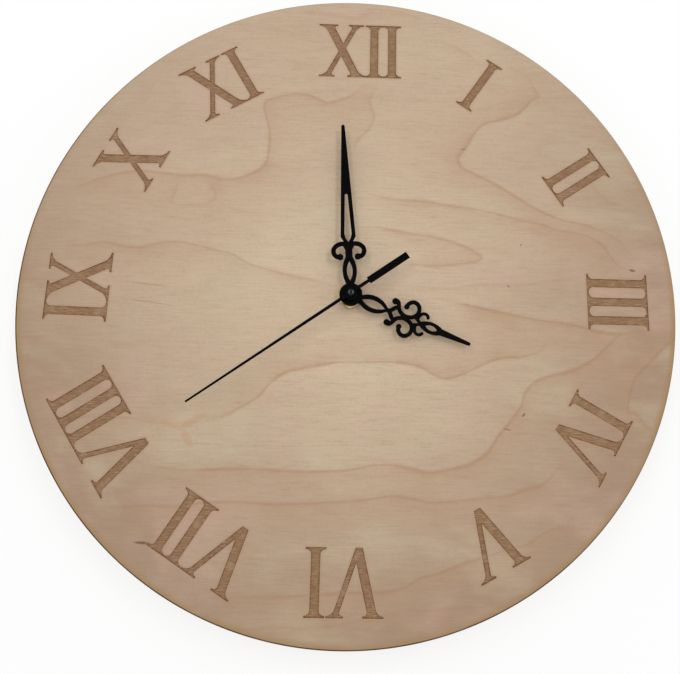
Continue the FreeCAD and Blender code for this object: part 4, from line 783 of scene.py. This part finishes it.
def build_dial(settings):
    """The disc: its face from the net, the numerals' floors and walls, and a turned rim, back and hole."""
    front, back, floor, outer, hole, outline, pairs = read_disc()
    cut_from, cut_to = outline[pairs[:, 0]], outline[pairs[:, 1]]
    steps = settings.rim_steps
    rounding = settings.edge_round
    inset = 0.05 * MM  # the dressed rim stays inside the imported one
    face_radius = outer - inset - rounding
    face_rim = revolved([face_radius], [front], steps)[:, [0, 2]]
    face_hole = revolved([hole], [front], HOLE_STEPS)[:, [0, 2]]
    groups = [outline, face_rim, face_hole, dial_net(settings, cut_from, cut_to, hole, face_radius)]
    held = [pairs]
    for first, count in ((len(outline), steps), (len(outline) + steps, HOLE_STEPS)):
        index = np.arange(count)
        held.append(first + np.stack([index, (index + 1) % count], 1))
    flat = list(map(Vector, np.vstack(groups).tolist()))
    laid = delaunay_2d_cdt(flat, np.vstack(held).tolist(), [], 1, TOUCH / 10)
    plan = np.array(laid[0], float)
    sides = np.array([face for face in laid[2] if len(face) == 3])
    sides = sides[np.hypot(*plan[sides].mean(1).T) > hole * math.cos(math.pi / HOLE_STEPS)]
    sunk = inside(plan[sides].mean(1), cut_from, cut_to)

    count = len(plan)
    floor_sides = sides[sunk] + count
    walls = open_edges(floor_sides)
    bend = np.linspace(0, math.pi / 2, 4)
    across = [*(face_radius + rounding * np.sin(bend)), *(face_radius + rounding * np.cos(bend)),
              *np.linspace(face_radius, hole, 9)[1:], hole]
    along = [*(front + rounding * (1 - np.cos(bend))), *(back - rounding * (1 - np.sin(bend))),
             *[back] * 8, front]
    raised, lowered = np.insert(plan, 1, front, axis=1), np.insert(plan, 1, floor, axis=1)
    spots = np.vstack([raised, lowered, revolved(across, along, steps)])
    faces = [sides[~sunk], floor_sides, np.column_stack([walls[:, ::-1], walls - count]),
             strip_faces(len(across), steps)[:, ::-1] + 2 * count]
    used = np.zeros(len(spots), bool)
    used[np.concatenate([part.ravel() for part in faces])] = True
    number_of = np.cumsum(used) - 1
    mesh = bpy.data.meshes.new("engraved_disc")
    corners = [face for part in faces for face in number_of[part].tolist()]
    mesh.from_pydata(spots[used].tolist(), [], corners)

    seen = spots[:, [0, 2]]
    band, gap, depth = growth_fields(seen)
    cut_gap = np.full(len(spots), 10 * MM)
    cut_gap[:2 * count] = np.minimum(nearest_on(seen[:2 * count], cut_from, cut_to)[0], 10 * MM)
    knots = np.maximum(mark_field(seen, PIN_KNOTS), mark_field(seen, STREAKS) * STREAK_DEPTH)
    for name, values in {
        "growth_band": band, "line_gap": gap / MM, "line_depth": depth,
        "cut_gap": cut_gap / MM, "knot_mark": knots, "amber_mark": mark_field(seen, AMBER_MARKS),
    }.items():
        field = mesh.attributes.new(name, "FLOAT", "POINT")
        field.data.foreach_set("value", values[used].astype(np.float32))
    form = bmesh.new()
    form.from_mesh(mesh)
    bmesh.ops.remove_doubles(form, verts=form.verts, dist=2 * TOUCH)
    form.to_mesh(mesh)
    form.free()
    smooth(mesh, math.radians(25))
    return mesh


def bare_veneer(bench, settings, spot, radius, x, z):
    """The veneer without its growth lines: tone by radius, height and side, patches, fibres and pores.
    Darker towards the rim and the foot is partly the birch's tone and partly painted shade.
    """
    # The wood darkens towards the rim and the foot, partly its own tone and partly painted shade, and a
    # little at the right.
    outward_tone_and_shade = bench.slope(radius, 30 * MM, 145 * MM)
    downward_tone_and_shade = bench.slope(z, 150 * MM, -30 * MM, 0.34, 1.0)
    right = bench.slope(x, 60 * MM, 145 * MM, 0.0, 0.17)
    slow = bench.noise(bench.scaled(spot, 1, 1, 2.2), 16, 2)
    wood = bench.mix(outward_tone_and_shade * downward_tone_and_shade + right + (slow - 0.5) * 0.45, settings.pale, settings.warm_and_shaded)
    patch = bench.grain(spot, (22, 22, 34), 3, 0.55, 0.4)
    wood = bench.mix(bench.span(patch, 0.5, 0.72, 0.0, 0.5), wood, settings.rosy)
    wood = bench.mix(bench.span(patch, 0.5, 0.28, 0.0, 0.4), wood, settings.ashen)

    fibre = bench.grain(spot, (90, 400, 1500), 4, 0.7)
    cross = bench.grain(spot, (900, 400, 700), 2, 0.6)
    cloud = bench.grain(spot, (60, 60, 220), 3, 0.6)
    pores = bench.span(bench.grain(spot, (220, 600, 2600), 2), 0.60, 0.74)
    uneven = 0.9 - (fibre * 1.05 + cross * 0.45 + cloud * 0.3)
    wood = bench.mix(uneven * -0.8, wood, settings.band)
    wood = bench.mix(1.0, wood, uneven * 0.22 + 1.0, "MULTIPLY")
    wood = bench.mix(pores * 0.2, wood, settings.line)
    return wood, fibre, pores


def figured(bench, settings, spot, wood):
    """Lays the growth bands, the thin lines, the amber fork and the knots over the veneer."""
    feather = bench.grain(spot, (250, 250, 1800), 2, 0.6)
    waves = bench.noise(spot, 70, 2)
    ragged = bench.slope(feather, 0.2, 0.8, 0.6, 1.4)
    spread = bench.field("growth_band") * ragged * bench.slope(waves, 0.3, 0.7, 0.6, 1.2)
    wood = bench.mix(spread * settings.band_depth, wood, settings.band)
    gap = (feather - 0.5) * 1.1 + bench.field("line_gap")
    width = bench.slope(waves, 0.3, 0.7, 0.6, 1.7)
    thin = bench.span(gap / width, 0.0, 1.0, 1.0, 0.0) * bench.field("line_depth")
    wood = bench.mix(thin * settings.line_depth, wood, settings.line)
    fork = bench.span(bench.field("amber_mark"), 0.1, 0.7, 0.0, 0.42) * ragged
    wood = bench.mix(fork, wood, settings.amber)
    return bench.mix(bench.span(bench.field("knot_mark"), 0.3, 0.9, 0.0, 0.7), wood, settings.knot)


def engraved(bench, settings, spot, cut_gap):
    """A numeral's scanned floor: scorched at its outline, with pale and dark streaks along the scan."""
    raster = bench.grain(spot, (260, 1, 2200), 3, 0.7)
    patches = bench.noise(spot, 160, 3)
    width = bench.slope(bench.noise(spot, 700, 2), 0.35, 0.65, 0.25, 0.95)
    floor = bench.mix(bench.span(cut_gap / width, 0.0, 1.0), settings.outline, settings.engraving)
    floor = bench.mix(bench.span(raster, 0.51, 0.68, 0.0, 0.7), floor, settings.outline)
    floor = bench.mix(bench.span(raster, 0.5, 0.32, 0.0, 0.75), floor, settings.streak)
    return bench.mix(bench.span(patches, 0.5, 0.75, 0.0, 0.35), floor, settings.streak), raster


def scorched(bench, settings, spot, wood, x, z, heat):
    """Lays an orange glow and a dark line over the rim's wood, most at the lower left. The glow is the cut's
    heat mark and grows towards the bottom; the dark line is partly the cut's char and partly painted shade,
    strongest at the lower left and gone at the top right.
    """
    lower = bench.slope(z, 110 * MM, -20 * MM, 0.1, 1.0)
    patchy = bench.noise(spot, 45, 3)
    glow = bench.span(heat, 0.0, settings.glow_width, 0.85, 0.0)
    wood = bench.mix(glow * lower * bench.slope(patchy, 0.3, 0.7, 0.6, 1.1), wood, settings.rim_glow)
    # Painted shade on top of the real char: the dark edge line grows from nothing at the top right to full
    # at the lower left.
    char_and_shade = bench.span(x * -4.0 + z * -5.2, -0.7, 0.5, 0.3, 1.0)
    char_and_shade_line = bench.span(heat / (char_and_shade * (0.5 * MM) + 0.3 * MM), 1.0, 0.6)
    return bench.mix(char_and_shade_line * char_and_shade * bench.span(patchy, 0.35, 0.6, 0.85, 1.0), wood, settings.rim_char_and_shade)


def ply_edge(bench, settings, spot):
    """The plies on the disc's edge: waves through its thickness, with smoke over them."""
    waves = {"Vector": bench.scaled(spot, 0, 1, 0), "Scale": 235.0, "Distortion": 0.6}
    plies = bench.result("Fac", "ShaderNodeTexWave", waves, bands_direction="Y")
    smoke = bench.noise(spot, 300, 3)
    layers = bench.mix(bench.span(plies, 0.3, 0.8, 0.0, 0.6), settings.rim_char_and_shade, settings.rim_glow)
    return bench.mix(bench.span(smoke, 0.4, 0.7, 0.0, 0.6), layers, settings.rim_char_and_shade)


def dial_material(settings):
    """Engraved birch ply. Tone follows the radius and height, the figure follows the mesh's own fields."""
    bench = Finish("engraved_birch", Specular_IOR_Level=0.28)
    spot = bench.place()
    x, y, z = bench.split(spot)
    radius = bench.from_axis(x, z)
    heat = DIAL_RADIUS - radius
    wood, fibre, pores = bare_veneer(bench, settings, spot, radius, x, z)
    wood = figured(bench, settings, spot, wood)

    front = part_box("dial_plate")[0].y
    cut_gap = bench.field("cut_gap")
    sunk = bench.span(y, front + 0.03 * MM, front + 0.12 * MM)
    within = bench.span(radius, DIAL_RADIUS - 1.0 * MM, DIAL_RADIUS - 1.5 * MM)
    numerals = sunk * within * bench.span(y, front + 0.7 * MM, front + 0.6 * MM)
    scorch = bench.span(cut_gap, 0.0, 1.3, 0.45, 0.0) * (1.0 - sunk)
    wood = bench.mix(scorch, wood, settings.band)
    floor, raster = engraved(bench, settings, spot, cut_gap)
    wood = bench.mix(numerals, wood, floor)
    wood = scorched(bench, settings, spot, wood, x, z, heat)
    side = bench.span(y, front + 0.2 * MM, front + 0.4 * MM) * bench.span(heat, 0.3 * MM, 0.1 * MM)
    wood = bench.mix(side, wood, ply_edge(bench, settings, spot))

    rough = numerals * 0.2 + bench.slope(fibre, 0.3, 0.7, 0.58, 0.72)
    height = fibre * 0.6 + pores * -0.5 + raster * numerals * 1.4
    return bench.done(wood, rough, bench.bump(height, 0.06 * MM, 0.7))


def wire(name, tone):
    """Turns of enamelled wire: round ridges across the coil's length, with a slight wander, and painted
    shade darkening the grooves between the turns.
    """
    bench = Finish(name, Metallic=0.85, Coat_Weight=0.4, Coat_Roughness=0.2)
    spot = bench.place()
    x, y, z = bench.split(spot)
    wander = bench.noise(spot, 500, 2) * (0.12 * MM) + z
    ridge = bench.maths("ABSOLUTE", bench.maths("SINE", wander * 21000.0))
    # Painted shade: the grooves between the turns are drawn at a third of the wire's tone.
    dark = [part * 0.35 for part in tone]
    tone = bench.mix(bench.span(ridge, 0.0, 0.6), dark, tone)
    return bench.done(tone, bench.span(ridge, 0.0, 1.0, 0.5, 0.25), bench.bump(ridge, 0.06 * MM))


def laminate(settings):
    """Green board: the glass cloth shows as a fine weave under the mask, with paler copper lands."""
    bench = Finish("board_laminate", Coat_Weight=0.5, Coat_Roughness=0.15)
    spot = bench.place()
    x, y, z = bench.split(spot)
    weave = bench.maths("SINE", x * 9000.0) * bench.maths("SINE", z * 9000.0)
    lands = bench.span(bench.noise(bench.scaled(spot, 1, 1, 3), 260, 1), 0.52, 0.54)
    cloth, copper = paint(60, 120, 80), paint(70, 128, 62)
    tone = bench.mix(bench.slope(weave, -1, 1, 0.0, 0.25), settings.board, cloth)
    tone = bench.mix(lands * 0.5, tone, copper)
    return bench.done(tone, bench.slope(weave, -1, 1, 0.35, 0.45), bench.bump(lands, 0.03 * MM))


def wrap(settings):
    """Printed film round the battery: satin grey with fine flecks, and a brass-coloured ring at one end."""
    bench = Finish("battery_wrap", Coat_Weight=0.6, Coat_Roughness=0.12)
    spot = bench.place()
    x, y, z = bench.split(spot)
    flecks = bench.noise(spot, 9000, 1)
    pale, ring = paint(140, 144, 150), paint(198, 162, 92)
    tone = bench.mix(bench.span(flecks, 0.4, 0.7, 0.0, 0.3), settings.sleeve, pale)
    tone = bench.mix(bench.span(x, 14.5 * MM, 14.9 * MM), tone, ring)
    dents = bench.noise(spot, 400, 2)
    return bench.done(tone, bench.slope(flecks, 0.3, 0.7, 0.3, 0.4), bench.bump(dents, 0.04 * MM))


def sweep_sheet(name, profile, half_width, steps=24):
    """A sheet: the profile's points (depth, height) carried straight along X."""
    p = np.array(profile)
    across = np.linspace(-half_width, half_width, steps)
    points = np.stack(np.broadcast_arrays(across[None, :], p[:, 0:1], p[:, 1:2]), 2).reshape(-1, 3)
    mesh = bpy.data.meshes.new(name)
    mesh.from_pydata(points.tolist(), [], strip_faces(len(p), steps, closed=False).tolist())
    mesh.shade_smooth()
    return add(name, mesh)


def lamp(name, place, power, width=0.12, height=0.6):
    """A tall white lamp at a place, facing the dial."""
    data = bpy.data.lights.new(name, "AREA")
    data.shape = "RECTANGLE"
    data.size = width
    data.size_y = height
    data.energy = power
    made = add(name, data)
    made.location = place
    made.rotation_euler = (LAMP_AIM - Vector(place)).to_track_quat("-Z", "Y").to_euler()


def wall_material(settings):
    """Matt white wall that the camera sees as white, with the clock's shadow left on it.

    It is there only for the camera and only from the front, so the clock's back is seen and lit through it.
    """
    bench = Finish("white_wall", Base_Color=settings.wall, Roughness=0.9, Specular_IOR_Level=0.0)
    camera = bench.results("ShaderNodeLightPath")["Is Camera Ray"]
    behind = bench.results("ShaderNodeNewGeometry")["Backfacing"]
    seen = bench.maths("MAXIMUM", camera - behind, 0.0)
    glow = bench.result(0, "ShaderNodeEmission", {"Color": (1, 1, 1), "Strength": 1.0})
    white = bench.result(0, "ShaderNodeMixShader", {0: settings.wall_glow, 1: bench.lit, 2: glow})
    clear = bench.result(0, "ShaderNodeBsdfTransparent")
    both = bench.result(0, "ShaderNodeMixShader", {0: seen, 1: clear, 2: white})
    bench.join(both, bench.output.inputs[0])
    return bench.material


def white_world(sky):
    """White to the camera and in reflections, and the sky's strength as light."""
    world = bpy.data.worlds.new("studio")
    world.use_nodes = True
    world.node_tree.nodes.clear()
    bench = Bench(world.node_tree)
    path = bench.results("ShaderNodeLightPath")
    mirrored = bench.maths("MAXIMUM", path["Is Glossy Ray"], path["Is Transmission Ray"])
    seen = bench.maths("MAXIMUM", path["Is Camera Ray"], mirrored)
    light = {"Color": (1, 1, 1), "Strength": seen * (1 - sky) + sky}
    bench.put("ShaderNodeOutputWorld", {0: bench.result(0, "ShaderNodeBackground", light)})
    return world


class CLOCK_OT_dial(bpy.types.Operator):
    """Lays the engraved wooden disc."""

    bl_idname = "clock.build_dial"
    bl_label = "Wooden Dial"

    def execute(self, context):
        settings = context.scene.clock_dial
        disc = add("engraved_disc", build_dial(settings))
        coat(disc.data, dial_material(settings))
        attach(disc, NODES["dial_plate"]["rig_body"])
        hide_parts("dial_plate")
        return {"FINISHED"}


class CLOCK_OT_hands(bpy.types.Operator):
    """Finishes the three hands and their collets in black lacquer."""

    bl_idname = "clock.build_hands"
    bl_label = "Hands and Collets"

    def execute(self, context):
        settings = context.scene.clock_hands
        black = lacquer(settings)
        collet_black = moulding(
            "collet_black", settings.black, roughness=0.07, depth=0.001 * MM, Specular_IOR_Level=0.28)
        for node in ("hour_hand", "minute_hand", "second_hand"):
            dressed(node, black, settings.edge_round)
        for node in ("hour_collet", "minute_collet"):
            dressed(node, collet_black, settings.edge_round * 2)
        cap = add("second_cap", capped_tube("second_collet", settings.cap_dome, settings.cap_round))
        coat(cap.data, collet_black)
        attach(cap, NODES["second_collet"]["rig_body"])
        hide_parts("second_collet")
        return {"FINISHED"}


class CLOCK_OT_fixings(bpy.types.Operator):
    """Finishes the nut, washers, threaded bush and hanger."""

    bl_idname = "clock.build_fixings"
    bl_label = "Nut, Washers and Hanger"

    def execute(self, context):
        settings = context.scene.clock_metal
        brass = metal("brass", settings.brass, settings.tarnish, roughness=0.22, rings=1.5)
        stem = metal("stem_brass", settings.brass, settings.tarnish, roughness=0.34, rings=0.6, stains=0.7)
        steel = metal("hanger_steel", settings.steel, paint(140, 140, 138), roughness=0.34, grain=1400.0)
        rubber = moulding("rubber", context.scene.clock_movement.rubber, roughness=0.75, grain=1800.0)
        for node in ("hex_nut", "brass_washer"):
            dressed(node, brass, settings.edge_round)
        dressed("stem_bush", stem, settings.edge_round)
        dressed("hanger_plate", steel, settings.edge_round)
        dressed("rubber_washer", rubber, settings.edge_round)
        return {"FINISHED"}


class CLOCK_OT_case(bpy.types.Operator):
    """Finishes the moulded case, its cover, the train plate and the setting knob."""

    bl_idname = "clock.build_case"
    bl_label = "Movement Case"

    def execute(self, context):
        settings = context.scene.clock_movement
        black = moulding("case_plastic", settings.case, roughness=0.5, depth=0.05 * MM)
        knob = moulding("knob_plastic", settings.knob, roughness=0.4)
        for node in ("case_front", "rear_cover"):
            dressed(node, black, settings.edge_round)
        dressed("setting_knob", knob, settings.edge_round * 0.5)
        coat(NODES["train_plate"].data, moulding("plate_plastic", settings.plate, roughness=0.45))
        return {"FINISHED"}


class CLOCK_OT_train(bpy.types.Operator):
    """Finishes the gears and arbors."""

    bl_idname = "clock.build_train"
    bl_label = "Gear Train"

    def execute(self, context):
        white = moulding("gear_plastic", context.scene.clock_movement.gear, roughness=0.35, depth=0.01 * MM)
        tones = context.scene.clock_metal
        arbor = metal("arbor_steel", tones.steel, tones.dark_steel, roughness=0.2, rings=0.5, stains=0.2)
        for node in (
            "rotor_pinion", "intermediate_wheel", "seconds_wheel", "third_wheel", "centre_wheel",
            "cannon_pinion", "motion_wheel", "hour_wheel", "setting_shaft",
        ):
            coat(NODES[node].data, white)
        coat(NODES["seconds_arbor"].data, arbor)
        return {"FINISHED"}


class CLOCK_OT_electrics(bpy.types.Operator):
    """Finishes the board, chip, crystal, coil, stator and contacts."""

    bl_idname = "clock.build_electrics"
    bl_label = "Board and Coil"

    def execute(self, context):
        plastics = context.scene.clock_movement
        metals = context.scene.clock_metal
        iron = metal("core_iron", metals.dark_steel, paint(84, 70, 60), roughness=0.42, stains=0.6)
        spring = metal("contact_steel", metals.steel, paint(150, 148, 140), roughness=0.22, stains=0.4)
        finishes = {
            "circuit_board": laminate(plastics),
            "clock_chip": moulding("chip_resin", plastics.resin, roughness=0.3, Coat_Weight=0.3),
            "quartz_crystal": metal("crystal_steel", metals.steel, metals.dark_steel, roughness=0.25),
            "coil_core": iron,
            "stator": iron,
            "coil_bobbin": moulding("bobbin_plastic", plastics.plate, roughness=0.45),
            "coil_winding": wire("copper_wire", metals.copper),
            "rotor_magnet": moulding("magnet", paint(58, 54, 52), roughness=0.55, grain=9000.0),
            "positive_contact": spring,
            "negative_contact": spring,
        }
        for node, material in finishes.items():
            coat(NODES[node].data, material)
        return {"FINISHED"}


class CLOCK_OT_battery(bpy.types.Operator):
    """Finishes the battery."""

    bl_idname = "clock.build_battery"
    bl_label = "Battery"

    def execute(self, context):
        metals = context.scene.clock_metal
        tin = metal("battery_steel", metals.steel, metals.dark_steel, roughness=0.24, stains=0.25)
        for node in ("battery_can", "battery_button"):
            dressed(node, tin, metals.edge_round * 3)
        dressed("battery_sleeve", wrap(context.scene.clock_movement), 0.0)
        return {"FINISHED"}


class CLOCK_OT_stage(bpy.types.Operator):
    """Sets the white wall, the lamps, the world and the camera."""

    bl_idname = "clock.build_stage"
    bl_label = "Wall, Lamps and Camera"

    def execute(self, context):
        scene = context.scene
        settings = scene.clock_stage
        wall_y = CAD_BOX[1][1] + settings.wall_gap
        floor_z = -settings.drop
        sweep = 0.5
        bend = np.linspace(0, math.pi / 2, 16)
        curve = [(wall_y - sweep * (1 - math.cos(a)), floor_z + sweep * (1 - math.sin(a))) for a in bend]
        profile = [(wall_y, settings.reach), *curve, (-settings.reach, floor_z)]
        wall = sweep_sheet("wall_and_floor", profile, settings.reach)
        coat(wall.data, wall_material(settings))
        lamp("right_lamp", (0.40, -1.0, 0.25), settings.right_power)
        lamp("left_lamp", (-0.36, -1.0, 0.25), settings.left_power)
        lamp("back_lamp", (0.45, 0.9, 0.6), settings.back_power)
        scene.world = white_world(settings.sky)
        scene.view_settings.view_transform = "Standard"
        data = bpy.data.cameras.new("photo_camera")
        data.lens = settings.camera_lens
        data.sensor_fit = "HORIZONTAL"
        data.sensor_width = 36
        data.shift_x, data.shift_y = settings.camera_shift
        data.clip_start = 0.01
        camera = add("photo_camera", data)
        camera.location = settings.camera_place
        camera.rotation_euler = Euler(settings.camera_turn)
        scene.camera = camera
        return {"FINISHED"}


class CLOCK_PT_sidebar(bpy.types.Panel):
    """Lists the clock's pieces and their settings."""

    bl_idname = "CLOCK_PT_sidebar"
    bl_label = "Wall Clock"
    bl_space_type = "VIEW_3D"
    bl_region_type = "UI"
    bl_category = "Wall Clock"

    def draw(self, context):
        for operator, name in STEPS.items():
            box = self.layout.box()
            box.operator(operator.bl_idname)
            if name:
                group = getattr(context.scene, name)
                for key in group.__annotations__:
                    box.prop(group, key)


GROUPS = {
    "clock_dial": DialSettings, "clock_hands": HandSettings, "clock_metal": MetalSettings,
    "clock_movement": MovementSettings, "clock_stage": StageSettings,
}
# The operators in their order, each with the settings that the panel shows beside it.
STEPS = {
    CLOCK_OT_dial: "clock_dial", CLOCK_OT_hands: "clock_hands", CLOCK_OT_fixings: "clock_metal",
    CLOCK_OT_case: "clock_movement", CLOCK_OT_train: "", CLOCK_OT_electrics: "", CLOCK_OT_battery: "",
    CLOCK_OT_stage: "clock_stage",
}


def register():
    for group in GROUPS.values():
        bpy.utils.register_class(group)
    for name, group in GROUPS.items():
        setattr(bpy.types.Scene, name, PointerProperty(type=group))
    for kind in (*STEPS, CLOCK_PT_sidebar):
        bpy.utils.register_class(kind)


def unregister():
    for kind in (CLOCK_PT_sidebar, *reversed(STEPS)):
        bpy.utils.unregister_class(kind)
    for name in GROUPS:
        delattr(bpy.types.Scene, name)
    for group in reversed(GROUPS.values()):
        bpy.utils.unregister_class(group)


def main():
    register()
    bpy.ops.clock.build_dial()
    bpy.ops.clock.build_hands()
    bpy.ops.clock.build_fixings()
    bpy.ops.clock.build_case()
    bpy.ops.clock.build_train()
    bpy.ops.clock.build_electrics()
    bpy.ops.clock.build_battery()
    bpy.ops.clock.build_stage()


if __name__ == "__main__":
    main()
